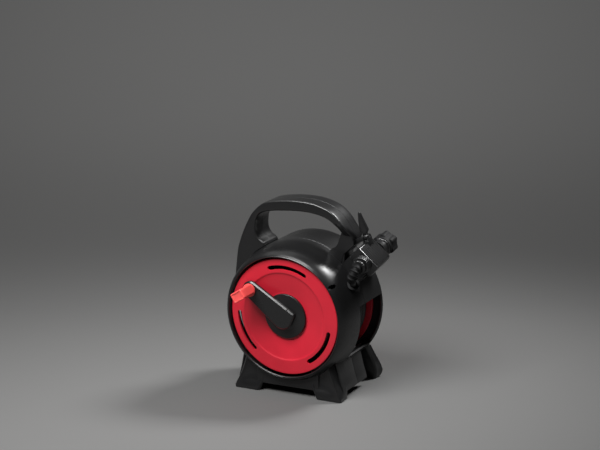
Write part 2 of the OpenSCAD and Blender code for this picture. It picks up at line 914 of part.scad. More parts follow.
module nozzle_pad() {
    depth = block_front - block_back - 8;
    color(soft_black)
        nozzle_frame()
            rotate([0, 0, block_angle])
                translate([block_up - pad_seat, pad_mid - pad_w / 2, block_back + 4]) {
                    cube([pad_t - pad_rib, pad_w, depth]);
                    for (i = [0 : pad_ribs - 1])
                        translate([0, 0, (i + 0.25) * depth / pad_ribs])
                            cube([pad_t, pad_w, depth / pad_ribs / 2]);
                }
}

module spray_core() {
    color(black_plastic)
        nozzle_frame()
            difference() {
                translate([0, 0, barrel_back - spray_core_t])
                    cylinder(r = nozzle_r - 0.5, h = spray_core_t);
                for (s = spray_rings)
                    for (i = [0 : s[1] - 1])
                        rotate([0, 0, 360 * i / s[1]])
                            translate([s[0], 0, barrel_back - spray_core_t - 1])
                                cylinder(r = spray_hole_r, h = spray_core_t, $fn = 16);
            }
}

module lever_pin() {
    half_w = lever_t / 2 + ear_gap + ear_t;
    color(steel)
        lever_frame()
            rotate([0, 90, 0])
                translate([0, 0, -half_w])
                    cylinder(r = lever_pin_r, h = 2 * half_w);
}

module coupling_body() {
    color(black_plastic)
        nozzle_frame()
            translate([0, 0, block_front])
                cylinder(r = coupling_r, h = nut_back - block_front);
}

module hose_nut() {
    color(black_plastic)
        nozzle_frame()
            translate([0, 0, nut_back])
                difference() {
                    cylinder(r = nut_r, h = nut_front - nut_back);
                    for (i = [0 : nut_flutes - 1])
                        rotate([0, 0, 360 * i / nut_flutes])
                            translate([nut_r + flute_r / 2, 0, -1])
                                cylinder(r = flute_r, h = nut_front - nut_back + 2, $fn = 24);
                }
}

// Saddle on the housing's shoulder that the nozzle's block lies in
module nozzle_holder() {
    along = -nozzle_x * sin(block_angle) + (nozzle_h - axis_h) * cos(block_angle);
    out = nozzle_x * cos(block_angle) + (nozzle_h - axis_h) * sin(block_angle);
    low = along - holder_low;
    high = along + block_left - holder_lip_t;
    color(black_plastic)
        difference() {
            facing()
                rotate([0, 0, block_angle])
                    difference() {
                        translate([shell_r - 8, low - holder_lip_t, holder_back])
                            cube([out - block_up + holder_lip - shell_r + 8, high - low + 2 * holder_lip_t,
                                holder_front - holder_back]);
                        translate([shell_r + (out - block_up - shell_r) / 2, low - 10,
                            (holder_front + holder_back) / 2])
                            rotate([-90, 0, 0])
                                cylinder(r = holder_window / 2 + 2, h = high - low + 20);
                    }
            nozzle_frame()
                translate([0, 0, block_back - 20])
                    linear_extrude(block_front - block_back + 40)
                        block_outline(0.3);
            facing()
                translate([0, 0, -lip_f])
                    cylinder(r = shell_r + seat, h = 2 * lip_f);
            facing()
                translate([0, handle_raise - axis_h, -handle_d])
                    linear_extrude(2 * handle_d)
                        polygon(concat(curve(handle_outer_ctrl, spline_steps), handle_outer_tail));
            lead_frame()
                translate([0, 0, guide_from - guide_collar_l - holder_clear])
                    cylinder(r = hose_d / 2 + guide_gap + guide_t + guide_collar_t + holder_clear,
                        h = guide_to);
            lead_frame()
                cylinder(r = hose_d / 2 + holder_clear, h = lead_l);
        }
}

module nozzle_lever() {
    tip = [[-2.2, 0], [-3.4, 8], [-3.2, lever_l * 0.45], [-1.8, lever_l * 0.75], [0.6, lever_l - 1],
        [1.8, lever_l], [3.2, lever_l - 1.4], [3.4, lever_l * 0.75], [3.8, lever_l * 0.45], [4.2, 8],
        [2.2, 0]];
    color(black_plastic)
        lever_frame()
            difference() {
                union() {
                    rotate([0, 90, 0])
                        translate([0, 0, -lever_t / 2])
                            cylinder(r = lever_hub_r, h = lever_t);
                    intersection() {
                        rotate([0, 90, 0])
                            translate([0, 0, -blade_w])
                                linear_extrude(2 * blade_w)
                                    polygon(curve(tip, 3));
                        translate([0, 0, -lever_l])
                            linear_extrude(2 * lever_l)
                                polygon([[-lever_t / 2, -1], [lever_t / 2, -1], [lever_t / 2, blade_from],
                                    [blade_w, blade_from + 4], [blade_tip, lever_l + 1],
                                    [-blade_tip, lever_l + 1],
                                    [-blade_w, blade_from + 4], [-lever_t / 2, blade_from]]);
                    }
                }
                rotate([0, 90, 0])
                    translate([0, 0, -lever_t])
                        cylinder(r = lever_pin_r + lever_pin_gap, h = 2 * lever_t);
            }
}

module spray_ring() {
    color(black_plastic)
        nozzle_frame()
            translate([0, 0, ring_front - ring_l])
                difference() {
                    union() {
                        cylinder(r = ring_r, h = ring_l);
                        for (i = [0 : lobe_count - 1])
                            rotate([0, 0, 360 * i / lobe_count + 30])
                                translate([lobe_ring_r, 0, 0])
                                    cylinder(r = lobe_r, h = ring_l - 6);
                    }
                    translate([0, 0, -1])
                        cylinder(r = nozzle_r + run_gap, h = ring_l + 2);
                }
}

module coupling_collar() {
    color(black_plastic)
        nozzle_frame()
            union() {
                ring(collar_r, coupling_r + run_gap, block_front + collar_gap, collar_front);
                for (f = collar_ribs)
                    ring(collar_r + collar_rib_h, coupling_r + run_gap, f, f + collar_rib_w);
            }
}

// Drum

module arc_slot(r, w, span, f_low, f_high) {
    rotate([0, 0, -span / 2])
        rotate_extrude(angle = span)
            translate([r - w / 2, f_low])
                square([w, f_high - f_low]);
    for (s = [-1, 1])
        rotate([0, 0, s * span / 2])
            translate([r, 0, f_low])
                cylinder(r = w / 2, h = f_high - f_low);
}

module drum_front_flange() {
    back_f = disc_f - flange_t;
    color(drum_red)
        facing()
            difference() {
                rotate_extrude()
                    polygon([[snap_r, core_front_f], [barrel_r + 1, core_front_f], [dish_r - 2, back_f],
                        [flange_r, back_f],
                        [flange_r, disc_f - 0.8], [flange_r - 0.8, disc_f], [dish_r, disc_f],
                        [dish_r - 1, disc_f - dish_step], [crank_hub_r + 3, dish_f], [snap_r, dish_f]]);
                for (i = [0 : 2])
                    rotate([0, 0, crank_angle - 60 + 120 * i])
                        arc_slot(slot_r, slot_w, slot_span, back_f - 1, disc_f + 1);
                around(flange_screw_angles, flange_screw_ring_r)
                    translate([0, 0, core_front_f - 1])
                        cylinder(r = screw_r + screw_hole_gap, h = plate_t + 2);
            }
}

module drum_core() {
    color(black_plastic)
        facing()
            difference() {
                union() {
                    ring(barrel_r, barrel_r - barrel_t, core_rear_f, core_front_f);
                    ring(barrel_r - 1, snap_pocket_r, core_front_f - core_plate_t, core_front_f);
                    ring(sleeve_out_r, sleeve_in_r, sleeve_rear_f, sleeve_front_f);
                    for (i = [0 : web_count - 1])
                        rotate([0, 0, 360 * i / web_count + 30])
                            translate([sleeve_out_r - 1, -web_t / 2, sleeve_rear_f + 1])
                                cube([barrel_r - barrel_t - sleeve_out_r + 2, web_t,
                                    sleeve_front_f - sleeve_rear_f - 2]);
                    around([for (i = [0 : web_count - 1]) 60 * i], rear_flange_screw_ring_r)
                        translate([0, 0, core_rear_f + boss_relief])
                            cylinder(r = rear_boss_r, h = rear_flange_screw_l + 3);
                }
                around(flange_screw_angles, flange_screw_ring_r)
                    translate([0, 0, core_front_f - core_plate_t - 1])
                        cylinder(r = screw_r, h = core_plate_t + 2);
                around([for (i = [0 : web_count - 1]) 60 * i], rear_flange_screw_ring_r)
                    translate([0, 0, core_rear_f - 1])
                        cylinder(r = screw_r, h = rear_flange_screw_l + 1);
                rotate([-90, 0, 0])
                    cylinder(r = tail_r, h = barrel_r + 1);
            }
}

module drum_rear_flange() {
    color(drum_red)
        facing()
            difference() {
                union() {
                    ring(flange_r, cup_r + cup_gap, rear_flange_f, core_rear_f);
                    ring(flange_r, flange_r - 3, rear_flange_f - 1, core_rear_f);
                }
                around([for (i = [0 : web_count - 1]) 60 * i], rear_flange_screw_ring_r)
                    translate([0, 0, rear_flange_f - 1])
                        cylinder(r = screw_r + screw_hole_gap, h = flange_t + 2);
            }
}

module drum_bushes() {
    color(natural_plastic)
        facing() {
            ring(sleeve_in_r, spindle_r + run_gap, sleeve_rear_f, sleeve_rear_f + bush_l);
            ring(sleeve_in_r, spindle_r + run_gap, sleeve_front_f - bush_l, sleeve_front_f);
        }
}

module flange_screws() {
    color(steel)
        facing()
            around(flange_screw_angles, flange_screw_ring_r)
                translate([0, 0, dish_f])
                    screw(plate_t + core_plate_t);
}

module rear_flange_screws() {
    color(steel)
        facing()
            around([for (i = [0 : web_count - 1]) 60 * i], rear_flange_screw_ring_r)
                translate([0, 0, rear_flange_f])
                    mirror([0, 0, 1])
                        rear_screw();
}

// Low-headed screw that stays clear of the rear wall
module rear_screw() {
    cylinder(r = screw_head_r, h = rear_gap / 2);
    translate([0, 0, -rear_flange_screw_l])
        cylinder(r = screw_r, h = rear_flange_screw_l);
}

module hose_tail() {
    color(natural_plastic)
        facing()
            rotate([-90, 0, 0])
                translate([0, 0, sleeve_in_r + 0.5])
                    difference() {
                        cylinder(r = tail_r, h = barrel_r - sleeve_in_r - 0.5);
                        translate([0, 0, -1])
                            cylinder(r = tail_bore_r, h = barrel_r);
                    }
}

module hose_core() {
    color(hose_black)
        facing()
            ring(pack_r, barrel_r + 0.3, core_rear_f + flange_gap, core_front_f - flange_gap);
}

// Middle line of the outer layer
winding_steps = hose_turns * rings_per_turn;
winding_line = [for (i = [0 : winding_steps])
    let (a = winding_start + 360 * i / rings_per_turn)
    [hose_layer_r * cos(a), hose_layer_r * sin(a),
        winding_mid_f - winding_len / 2 + winding_len * i / winding_steps]];

// Direction of the winding at an angle
function winding_dir(a) =
    let (t = [-2 * PI * hose_layer_r * sin(a), 2 * PI * hose_layer_r * cos(a), hose_pitch])
    t / norm(t);

// Ring of points round the winding's middle line
function winding_ring(c, a) =
    let (out = [cos(a), sin(a), 0], side = cross(winding_dir(a), out))
    [for (k = [0 : winding_sides - 1])
        c + hose_d / 2 * (cos(360 * k / winding_sides) * out + sin(360 * k / winding_sides) * side)];

winding_end = winding_start + 360 * hose_turns;
winding_rings = concat(
    [winding_ring(winding_line[0] - hose_d * winding_dir(winding_start), winding_start)],
    [for (i = [0 : winding_steps]) winding_ring(winding_line[i], winding_start + 360 * i / rings_per_turn)],
    [winding_ring(winding_line[winding_steps] + hose_d * winding_dir(winding_end), winding_end)]);

// Least gap of the winding to itself, over points more than half a turn apart
winding_gap = min([for (i = [0 : winding_steps - rings_per_turn / 2])
    min([for (j = [i + rings_per_turn / 2 : min(i + 2 * rings_per_turn, winding_steps)])
        norm(winding_line[i] - winding_line[j])])]) - hose_d;
echo(winding_self_gap = winding_gap);

module hose_winding() {
    color(hose_black)
        facing()
            skin(winding_rings);
}

// Crank

// Outline of the arm: two rounds and the tangents between them
module arm_outline(inset) {
    r1 = arm_hub_r - inset;
    r2 = arm_knob_r - inset;
    b = acos((r1 - r2) / crank_r);
    t1 = r1 - arm_overlap;
    t2 = r2 - arm_overlap;
    circle(r = r1);
    translate([crank_r, 0])
        circle(r = r2);
    polygon([[t1 * cos(b), t1 * sin(b)], [t1 * cos(b), -t1 * sin(b)], [crank_r + t2 * cos(b), -t2 * sin(b)],
        [crank_r + t2 * cos(b), t2 * sin(b)]]);
}

arm_overlap = 0.03;
arm_back_f = disc_f + 0.8;
arm_front_f = arm_back_f + arm_t;

module crank_arm() {
    hub_f = dish_f + seat;
    edge = 1.5;
    color(black_plastic)
        facing()
            difference() {
                union() {
                    rotate_extrude()
                        polygon([[snap_r - snap_gap - snap_t, core_front_f - snap_lip - 0.8],
                            [snap_r + 0.5, core_front_f - snap_lip - 0.8], [snap_r + 0.5, core_front_f - 0.3],
                            [snap_r - snap_gap, core_front_f - 0.3],
                            [snap_r - snap_gap, hub_f + screw_head_h + 1],
                            [crank_hub_r - 2.5, hub_f + screw_head_h + 1], [crank_hub_r - 2.5, hub_f],
                            [crank_hub_r, hub_f], [crank_hub_r, hub_f + 4],
                            [crank_hub_r - 1.5, hub_f + 5.4], [arm_hub_r - 4, arm_back_f + 1],
                            [0, arm_back_f + 1], [0, hub_f + screw_head_h + 2],
                            [snap_r - snap_gap - snap_t, hub_f + screw_head_h + 2]]);
                    rotate([0, 0, crank_angle]) {
                        translate([0, 0, arm_back_f])
                            linear_extrude(arm_t - edge)
                                arm_outline(0);
                        translate([0, 0, arm_front_f - edge - eps])
                            linear_extrude(edge + eps)
                                arm_outline(edge);
                    }
                }
                around([crank_angle], crank_r)
                    translate([0, 0, arm_back_f + 1.5])
                        cylinder(r = knob_pin_r, h = arm_t);
            }
}

module knob_pin() {
    color(steel)
        facing()
            around([crank_angle], crank_r)
                translate([0, 0, arm_back_f + 1.5])
                    cylinder(r = knob_pin_r, h = knob_l + arm_t - 1.5 - 5);
}

module crank_knob() {
    base_l = 4;
    gap = 0.4;
    color(knob_red)
        facing()
            around([crank_angle], crank_r)
                rotate([0, 0, knob_turn - crank_angle])
                    translate([0, 0, arm_front_f + gap])
                        difference() {
                            union() {
                                cylinder(r = knob_r, h = base_l);
                                intersection() {
                                    cylinder(r = knob_r, h = knob_l);
                                    translate([-knob_low, -2 * knob_r, 0])
                                        cube([knob_low + knob_flat, 4 * knob_r, knob_l]);
                                }
                            }
                            translate([0, 0, -1])
                                cylinder(r = knob_pin_r + run_gap, h = knob_l - 3);
                        }
}

front_shell();
rear_shell();
rear_spider();
case_screws();
spindle();
spindle_screws();
spindle_seals();
thrust_washer();
retaining_washer();
retaining_screw();
inlet_spigot();
inlet_seal();
hose_guide();
hose_lead();
nozzle_holder();
nozzle_body();
nozzle_pad();
spray_core();
lever_pin();
coupling_body();
hose_nut();
hose_elbow();
drum_front_flange();
drum_core();
drum_rear_flange();
drum_bushes();
flange_screws();
rear_flange_screws();
hose_tail();
hose_core();
hose_winding();
crank_arm();
knob_pin();
crank_knob();
nozzle_lever();
spray_ring();
coupling_collar();
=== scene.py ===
"""Compact hose reel: its visible pieces, finishes and a plain studio stage, built round the packed frame."""

import math

import bpy
import numpy as np
from mathutils import Matrix


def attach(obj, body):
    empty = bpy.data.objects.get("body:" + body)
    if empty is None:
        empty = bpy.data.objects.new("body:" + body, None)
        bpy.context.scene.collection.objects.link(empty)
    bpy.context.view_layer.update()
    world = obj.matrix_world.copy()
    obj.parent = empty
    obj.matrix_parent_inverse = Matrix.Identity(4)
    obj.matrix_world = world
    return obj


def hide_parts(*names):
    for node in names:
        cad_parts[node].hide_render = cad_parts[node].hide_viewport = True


bl_info = {
    "name": "Hose Reel",
    "version": (1, 0, 0),
    "blender": (4, 5, 0),
    "location": "3D View > Sidebar > Hose Reel",
    "description": "Builds the pieces, finishes and stage of a compact hose reel",
    "category": "Object",
}

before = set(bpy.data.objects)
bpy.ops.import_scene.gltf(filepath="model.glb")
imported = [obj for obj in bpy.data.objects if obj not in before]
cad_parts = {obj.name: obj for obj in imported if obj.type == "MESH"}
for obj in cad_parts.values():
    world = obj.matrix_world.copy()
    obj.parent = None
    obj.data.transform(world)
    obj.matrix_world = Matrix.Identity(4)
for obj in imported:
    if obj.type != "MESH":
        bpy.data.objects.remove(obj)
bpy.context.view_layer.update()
MM = 0.001
TURN = 2 * math.pi


# Sizes and colours that a user would change


def length(name, text, value):
    """Size in metres."""
    return bpy.props.FloatProperty(name=name, description=text, default=value, unit="LENGTH", precision=4)


def angle(name, text, degrees):
    """Angle, given in degrees."""
    value = math.radians(degrees)
    return bpy.props.FloatProperty(name=name, description=text, default=value, subtype="ANGLE")


def amount(name, text, value):
    """Plain number."""
    return bpy.props.FloatProperty(name=name, description=text, default=value)


def colour(name, text, value):
    """Colour as linear red, green and blue."""
    return bpy.props.FloatVectorProperty(
        name=name, description=text, default=value, size=3, subtype="COLOR", min=0, max=1
    )


class HousingSizes(bpy.types.PropertyGroup):
    """The two halves of the round housing"""

    axis_h: length("Axis height", "Height of the drum axis above the floor", 0.130)
    radius: length("Radius", "Outer radius of the round wall", 0.112)
    depth: length("Half depth", "From the parting plane to the lip of each half", 0.067)
    wall: length("Wall", "Thickness of the wall", 0.003)
    mouth_r: length("Mouth radius", "Radius of the round opening at the front", 0.097)
    round_d: length("Front round", "Depth of the long round on the front edge", 0.060)
    rear_mouth_r: length("Rear mouth radius", "Radius of the opening at the back", 0.088)
    rear_round: length("Rear round", "Radius of the round on the rear edge", 0.009)
    rear_wall: length("Rear wall", "Thickness of the wall at the back", 0.004)
    window_front: length("Window front", "How far the side windows reach before the parting plane", 0.018)
    window_back: length("Window back", "How far the side windows reach behind the parting plane", 0.061)
    window_up: length("Window top", "Top of the side windows above the axis", 0.017)
    window_down: length("Window bottom", "Bottom of the side windows below the axis", 0.068)
    seam: length("Seam", "Depth of the groove along the parting line", 0.0004)


class HandleSizes(bpy.types.PropertyGroup):
    """The carry handle"""

    depth: length("Depth", "Front to back", 0.045)
    edge_r: length("Edge radius", "Radius of the outer long edges", 0.003)
    flare_r: length("Grip radius", "Radius of the edges of the grip opening", 0.003)


class FootSizes(bpy.types.PropertyGroup):
    """The four feet and the skirts between them"""

    outside: length("Outside", "From the middle to the outer side of a foot", 0.095)
    inside: length("Inside", "From the middle to the inner side of a foot", 0.051)
    front: length("Front", "From the parting plane to the front of a foot", 0.061)
    depth: length("Depth", "Depth of a foot at the floor", 0.026)
    skirt_gap: length("Skirt gap", "From the floor to the skirts", 0.013)


class DrumSizes(bpy.types.PropertyGroup):
    """The drum with its two flanges"""

    flange_r: length("Flange radius", "Radius of both flanges", 0.094)
    flange_t: length("Flange thickness", "Thickness of both flanges", 0.0035)
    face: length("Front face", "Front face of the front flange, from the parting plane", 0.062)
    dish_d: length("Dish depth", "Depth of the dish", 0.007)
    slot_r: length("Slot radius", "Radius of the slots' middle line", 0.080)
    slot_w: length("Slot width", "Width of a slot", 0.007)
    slot_span: angle("Slot span", "Angle of a slot's straight part", 45)


class HoseSizes(bpy.types.PropertyGroup):
    """The hose on the drum and at the nozzle"""

    diameter: length("Diameter", "Outer diameter", 0.0105)
    layer_r: length("Layer radius", "Radius of the outer layer at the middle of the hose", 0.082)
    pitch: length("Pitch", "From turn to turn", 0.0112)
    layer_step: length("Layer step", "From layer to layer", 0.0104)
    layers: bpy.props.IntProperty(
        name="Layers", description="Layers of hose on the drum", default=4, min=1, max=6
    )


class CrankSizes(bpy.types.PropertyGroup):
    """The crank and its knob"""

    hub_r: length("Hub radius", "Radius of the round hub", 0.036)
    reach: length("Reach", "From the drum axis to the knob", 0.068)
    turn: angle("Turn", "Direction of the arm, from +X", 144)
    hub_end_r: length("Arm at hub", "Radius of the arm at the hub", 0.0185)
    knob_end_r: length("Arm at knob", "Radius of the arm at the knob", 0.0135)
    arm_t: length("Arm thickness", "Thickness of the arm", 0.0075)
    knob_l: length("Knob length", "Length of the knob", 0.038)
    knob_r: length("Knob radius", "Radius of the knob's collar", 0.0106)
    knob_thick: length("Half thickness", "From the knob's axis to its wide flats", 0.0080)
    knob_wide: length("Half width", "From the knob's axis to its narrow sides", 0.0108)
    knob_turn: angle("Flat direction", "Angle that a wide flat faces", 121)


class NozzleSizes(bpy.types.PropertyGroup):
    """The stowed spray nozzle"""

    across: length("Across", "From the middle to the nozzle's axis", 0.120)
    height: length("Height", "Height of the nozzle's axis in the parting plane", 0.222)
    tilt: angle("Tilt", "Rise towards the back", 8)
    barrel_r: length("Barrel radius", "Radius of the round barrel", 0.0135)
    ring_r: length("Ring radius", "Radius of the spray ring between its lobes", 0.016)
    lever_l: length("Lever length", "Length of the lever above its pin", 0.041)


class Finishes(bpy.types.PropertyGroup):
    """Colours of the finishes"""

    black: colour("Black plastic", "Moulded housing", (0.010, 0.010, 0.0103))
    soft_black: colour("Soft black", "Grip, guide, bend and dial of the nozzle", (0.008, 0.008, 0.0083))
    red: colour("Red plastic", "Drum", (0.58, 0.016, 0.034))
    coral: colour("Knob plastic", "Crank knob", (0.90, 0.098, 0.092))
    hose: colour("Hose", "Hose jacket", (0.014, 0.014, 0.0145))
    steel: colour("Steel", "Screws and pins", (0.55, 0.56, 0.57))
    natural: colour("Natural plastic", "Spindle and bushes", (0.60, 0.60, 0.57))
    floor: colour("Floor", "Floor and backdrop", (0.119, 0.1186, 0.1172))


class StageSettings(bpy.types.PropertyGroup):
    """Light and camera"""

    key: amount("Key light", "Power in watts of the soft light above the front", 31.0)
    fill: amount("Fill light", "Power in watts of the dim soft light overhead", 4.0)
    rim: amount("Rim light", "Power in watts of the small soft light behind the right shoulder", 4.0)
    back: amount("Backdrop light", "Power in watts of the soft light on the backdrop", 38.0)
    sky: amount("Surroundings", "Strength of the even light from all round", 0.09)
    lens: amount("Lens", "Focal length in millimetres on a 36 mm sensor", 108.0)
    yaw: angle("Yaw", "Camera's turn round the reel", 29.27)
    pitch: angle("Pitch", "How far the camera looks down", 14.98)
    roll: angle("Roll", "Camera's roll", -2.01)


GROUPS = {
    "reel_housing": HousingSizes,
    "reel_handle": HandleSizes,
    "reel_feet": FootSizes,
    "reel_drum": DrumSizes,
    "reel_hose": HoseSizes,
    "reel_crank": CrankSizes,
    "reel_nozzle": NozzleSizes,
    "reel_finish": Finishes,
    "reel_stage": StageSettings,
}


# Curves and outlines


def mm(*points):
    """Points or sizes that are given in millimetres."""
    return np.array(points, float) * MM


def box_of(x0, x1, y0, y1):
    """Corners of a rectangle, given in millimetres."""
    return mm((x0, y0), (x1, y0), (x1, y1), (x0, y1))


def curve_through(points, per_span):
    """Smooth curve through control points: the Catmull-Rom cubic of each span, per_span points to a span."""
    p = np.asarray(points, float)
    q = np.vstack([p[:1], p, p[-1:]])
    a, b, c, d = (x[:, None] for x in (q[:-3], q[1:-2], q[2:-1], q[3:]))
    t = (np.arange(per_span) / per_span)[None, :, None]
    cubic = 2 * b + (c - a) * t + (2 * a - 5 * b + 4 * c - d) * t**2 + (3 * b - a - 3 * c + d) * t**3
    return np.vstack([0.5 * cubic.reshape(-1, p.shape[1]), p[-1:]])


def side_of(line, closed):
    """Unit normals of a plane curve, to the right of its direction."""
    if closed:
        along = np.roll(line, -1, axis=0) - np.roll(line, 1, axis=0)
    else:
        along = np.gradient(line, axis=0)
    along = along / np.maximum(np.linalg.norm(along, axis=1, keepdims=True), 1e-12)
    return np.stack([along[:, 1], -along[:, 0]], axis=1)


def filleted(corners, radius, steps=4):
    """Closed outline whose corners give way to arcs: each arc touches both sides of its corner."""
    p = np.asarray(corners, float)
    radius = np.broadcast_to(np.asarray(radius, float), len(p))
    back, ahead = np.roll(p, 1, axis=0) - p, np.roll(p, -1, axis=0) - p
    back_l, ahead_l = np.linalg.norm(back, axis=1), np.linalg.norm(ahead, axis=1)
    back, ahead = back / back_l[:, None], ahead / ahead_l[:, None]
    half = 0.5 * np.arccos(np.clip((back * ahead).sum(1), -1 + 1e-9, 1 - 1e-9))
    cut = np.minimum(radius / np.tan(half), 0.49 * np.minimum(back_l, ahead_l))
    middle = back + ahead
    middle = middle / np.maximum(np.linalg.norm(middle, axis=1, keepdims=True), 1e-9)
    centre = p + middle * (cut / np.cos(half))[:, None]
    sweep = np.maximum(math.pi - 2 * half, 1e-6)[:, None, None]
    t = np.linspace(0, 1, steps + 1)[None, :, None]
    first, last = (p + back * cut[:, None] - centre)[:, None], (p + ahead * cut[:, None] - centre)[:, None]
    arc = (np.sin((1 - t) * sweep) * first + np.sin(t * sweep) * last) / np.sin(sweep)
    line = (centre[:, None] + arc).reshape(-1, 2)
    return line[np.linalg.norm(line - np.roll(line, 1, axis=0), axis=1) > 1e-7]


def ring_of(radius, steps):
    """Points round a circle; radius may change with the angle."""
    t = np.arange(steps) * TURN / steps
    return np.stack([radius * np.cos(t), radius * np.sin(t)], axis=1)


# Closed skins


def quads(rows, cols, close_rows=False, close_cols=False):
    """Corner indices of a grid's cells."""
    i = np.arange(rows if close_rows else rows - 1)[:, None]
    j = np.arange(cols if close_cols else cols - 1)[None, :]
    i2, j2 = (i + 1) % rows, (j + 1) % cols
    corners = np.broadcast_arrays(i * cols + j, i2 * cols + j, i2 * cols + j2, i * cols + j2)
    return np.stack(corners, axis=-1).reshape(-1, 4)


def solid(points, *faces):
    """One closed skin with its faces turned outwards: a negative signed volume turns all of them round."""
    points = np.asarray(points, float).reshape(-1, 3)
    six = sum(
        np.einsum("ni,nki->", points[f[:, 0]], np.cross(points[f[:, 1:-1]], points[f[:, 2:]])) for f in faces
    )
    return points, [f[:, ::-1] if six < 0 else f for f in faces]


def lofted(rings):
    """Skin over a stack of closed rings (ring, point, xyz), with a flat face over each end."""
    rows, cols = rings.shape[:2]
    ends = [np.arange(cols)[None], (rows - 1) * cols + np.arange(cols)[None, ::-1]]
    return solid(rings, quads(rows, cols, close_cols=True), *ends)


def looped(rings):
    """Skin over closed rings that themselves run in a loop."""
    rows, cols = rings.shape[:2]
    return solid(rings, quads(rows, cols, close_rows=True, close_cols=True))


def moved(points, place):
    """Points of a local frame in the reel's own: turned by the place's matrix, then shifted."""
    m = np.array(place)
    return np.asarray(points, float) @ m[:3, :3].T + m[:3, 3]


def turned(outline, place, steps=96, ripple=None):
    """Closed outline (radius, along) carried once round the axis; ripple scales the radius by angle."""
    outline = np.asarray(outline, float)
    t = np.arange(steps) * TURN / steps
    r = outline[None, :, 0] * (1 if ripple is None else ripple(t)[:, None])
    z = np.tile(outline[:, 1], (steps, 1))
    grid = np.stack([r * np.cos(t)[:, None], r * np.sin(t)[:, None], z], axis=-1)
    return looped(moved(grid, place))


def turned_solid(profile, place, steps=64, ripple=None):
    """Profile (radius, along) from one end to the other, carried round the axis, with flat ends."""
    profile = np.asarray(profile, float)
    t = np.arange(steps) * TURN / steps
    r = profile[:, :1] * (1 if ripple is None else ripple(t)[None, :])
    grid = np.stack([r * np.cos(t), r * np.sin(t), np.repeat(profile[:, 1:], steps, axis=1)], axis=-1)
    return lofted(moved(grid, place))


def rounded_ends(profile, edge, steps=4):
    """Profile (radius, along) of a rod with its two end edges rolled in by a quarter round."""
    (r0, z0), (r1, z1) = profile[0], profile[-1]
    t = np.linspace(0, math.pi / 2, steps + 1)
    way = 1 if z1 > z0 else -1
    head = np.stack([r0 - edge * (1 - np.sin(t)), z0 + way * edge * (1 - np.cos(t))], axis=1)
    tail = np.stack([r1 - edge * (1 - np.cos(t)), z1 - way * edge * (1 - np.sin(t))], axis=1)
    return np.vstack([head, profile[1:-1], tail])


def prism(outline, low, high, edge, place, steps=4):
    """Closed outline (x, y) carried from low to high, with both ends rolled in.

    At angle t of the roll the outline lies edge * (1 - cos t) inside itself.
    """
    t = np.linspace(math.pi / 2, 0, steps + 1)
    inset = np.concatenate([edge * (1 - np.cos(t)), edge * (1 - np.cos(t[::-1]))])
    along = np.concatenate([low + edge * (1 - np.sin(t)), high - edge * (1 - np.sin(t[::-1]))])
    outline = np.asarray(outline, float)
    ahead = np.roll(outline, -1, axis=0)
    area = np.sum(outline[:, 0] * ahead[:, 1] - outline[:, 1] * ahead[:, 0])
    normal = side_of(outline, closed=True) * np.sign(area)
    rings = outline[None] - inset[:, None, None] * normal[None]
    grid = np.concatenate([rings, np.broadcast_to(along[:, None, None], rings.shape[:2] + (1,))], axis=2)
    return lofted(moved(grid, place))


def edges_of(faces):
    """Directed edges of four-cornered faces."""
    return faces[:, [0, 1, 1, 2, 2, 3, 3, 0]].reshape(-1, 2)


# Block of cells that a slot takes up, in half widths of the slot: along it and across it
BLOCK_ALONG, BLOCK_ACROSS = 1.9, 1.6


def slot_loop(i0, i1, s0, s1, j0, j1):
    """Grid places round a block of cells: low side, far cap, high side and near cap of the slot in it."""
    low = [(i, j0) for i in range(s0, s1 + 1)]
    far = [(i, j0) for i in range(s1 + 1, i1 + 1)] + [(i1, j) for j in range(j0 + 1, j1 + 1)]
    far += [(i, j1) for i in range(i1 - 1, s1, -1)]
    high = [(i, j1) for i in range(s1, s0 - 1, -1)]
    near = [(i, j1) for i in range(s0 - 1, i0 - 1, -1)] + [(i0, j) for j in range(j1 - 1, j0 - 1, -1)]
    near += [(i, j0) for i in range(i0 + 1, s0)]
    return low, far, high, near


def slot_patch(angles, outer, slot, rings):
    """Block of cells that gives way to a slot, the grid places round it, and rings of points to the slot.

    The rings lead evenly from the block's border to the slot's outline, which is two straights and two half
    rounds.
    """
    middle, half_span, radius, half_w = slot
    sign = -1 if outer[-1, 0] < outer[0, 0] else 1
    s0, s1 = (int(np.abs(angles - middle - s * half_span).argmin()) for s in (-1, 1))
    margin = max(2, int(math.ceil(BLOCK_ALONG * half_w / radius / (angles[s1] - angles[s1 - 1]))))
    i0, i1 = s0 - margin, s1 + margin
    rims = (radius - BLOCK_ACROSS * half_w, radius + BLOCK_ACROSS * half_w)
    j0, j1 = sorted(int(np.abs(outer[:, 0] - r).argmin()) for r in rims)
    low, far, high, near = slot_loop(i0, i1, s0, s1, j0, j1)
    border = np.array(low + far + high + near)
    caps = [np.radians(np.linspace(-90, 90, len(c) + 2)[1:-1]) for c in (far, near)]
    straight = np.clip(angles[[i for i, _ in low]], middle - half_span, middle + half_span)
    ends = [half_span + half_w / radius * np.cos(cap) for cap in caps]
    hole_a = np.concatenate([straight, middle + ends[0], straight[::-1], middle - ends[1]])
    across = [np.full(len(low), -1.0), np.sin(caps[0]), np.full(len(high), 1.0), -np.sin(caps[1])]
    hole_r = radius + sign * half_w * np.concatenate(across)
    run = outer[:, 0] * sign
    order = np.argsort(run, kind="stable")
    hole_v = np.interp(hole_r * sign, run[order], np.arange(len(outer), dtype=float)[order])
    lap, around = np.divmod(border[:, 0], len(angles))
    start = np.stack([angles[around] + TURN * lap, border[:, 1].astype(float)], axis=1)
    goal = np.stack([hole_a, hole_v], axis=1)
    t = np.linspace(0, 1, rings + 1)[1:, None, None]
    return (i0, i1, j0, j1), (around, border[:, 1]), start[None] + (goal - start)[None] * t


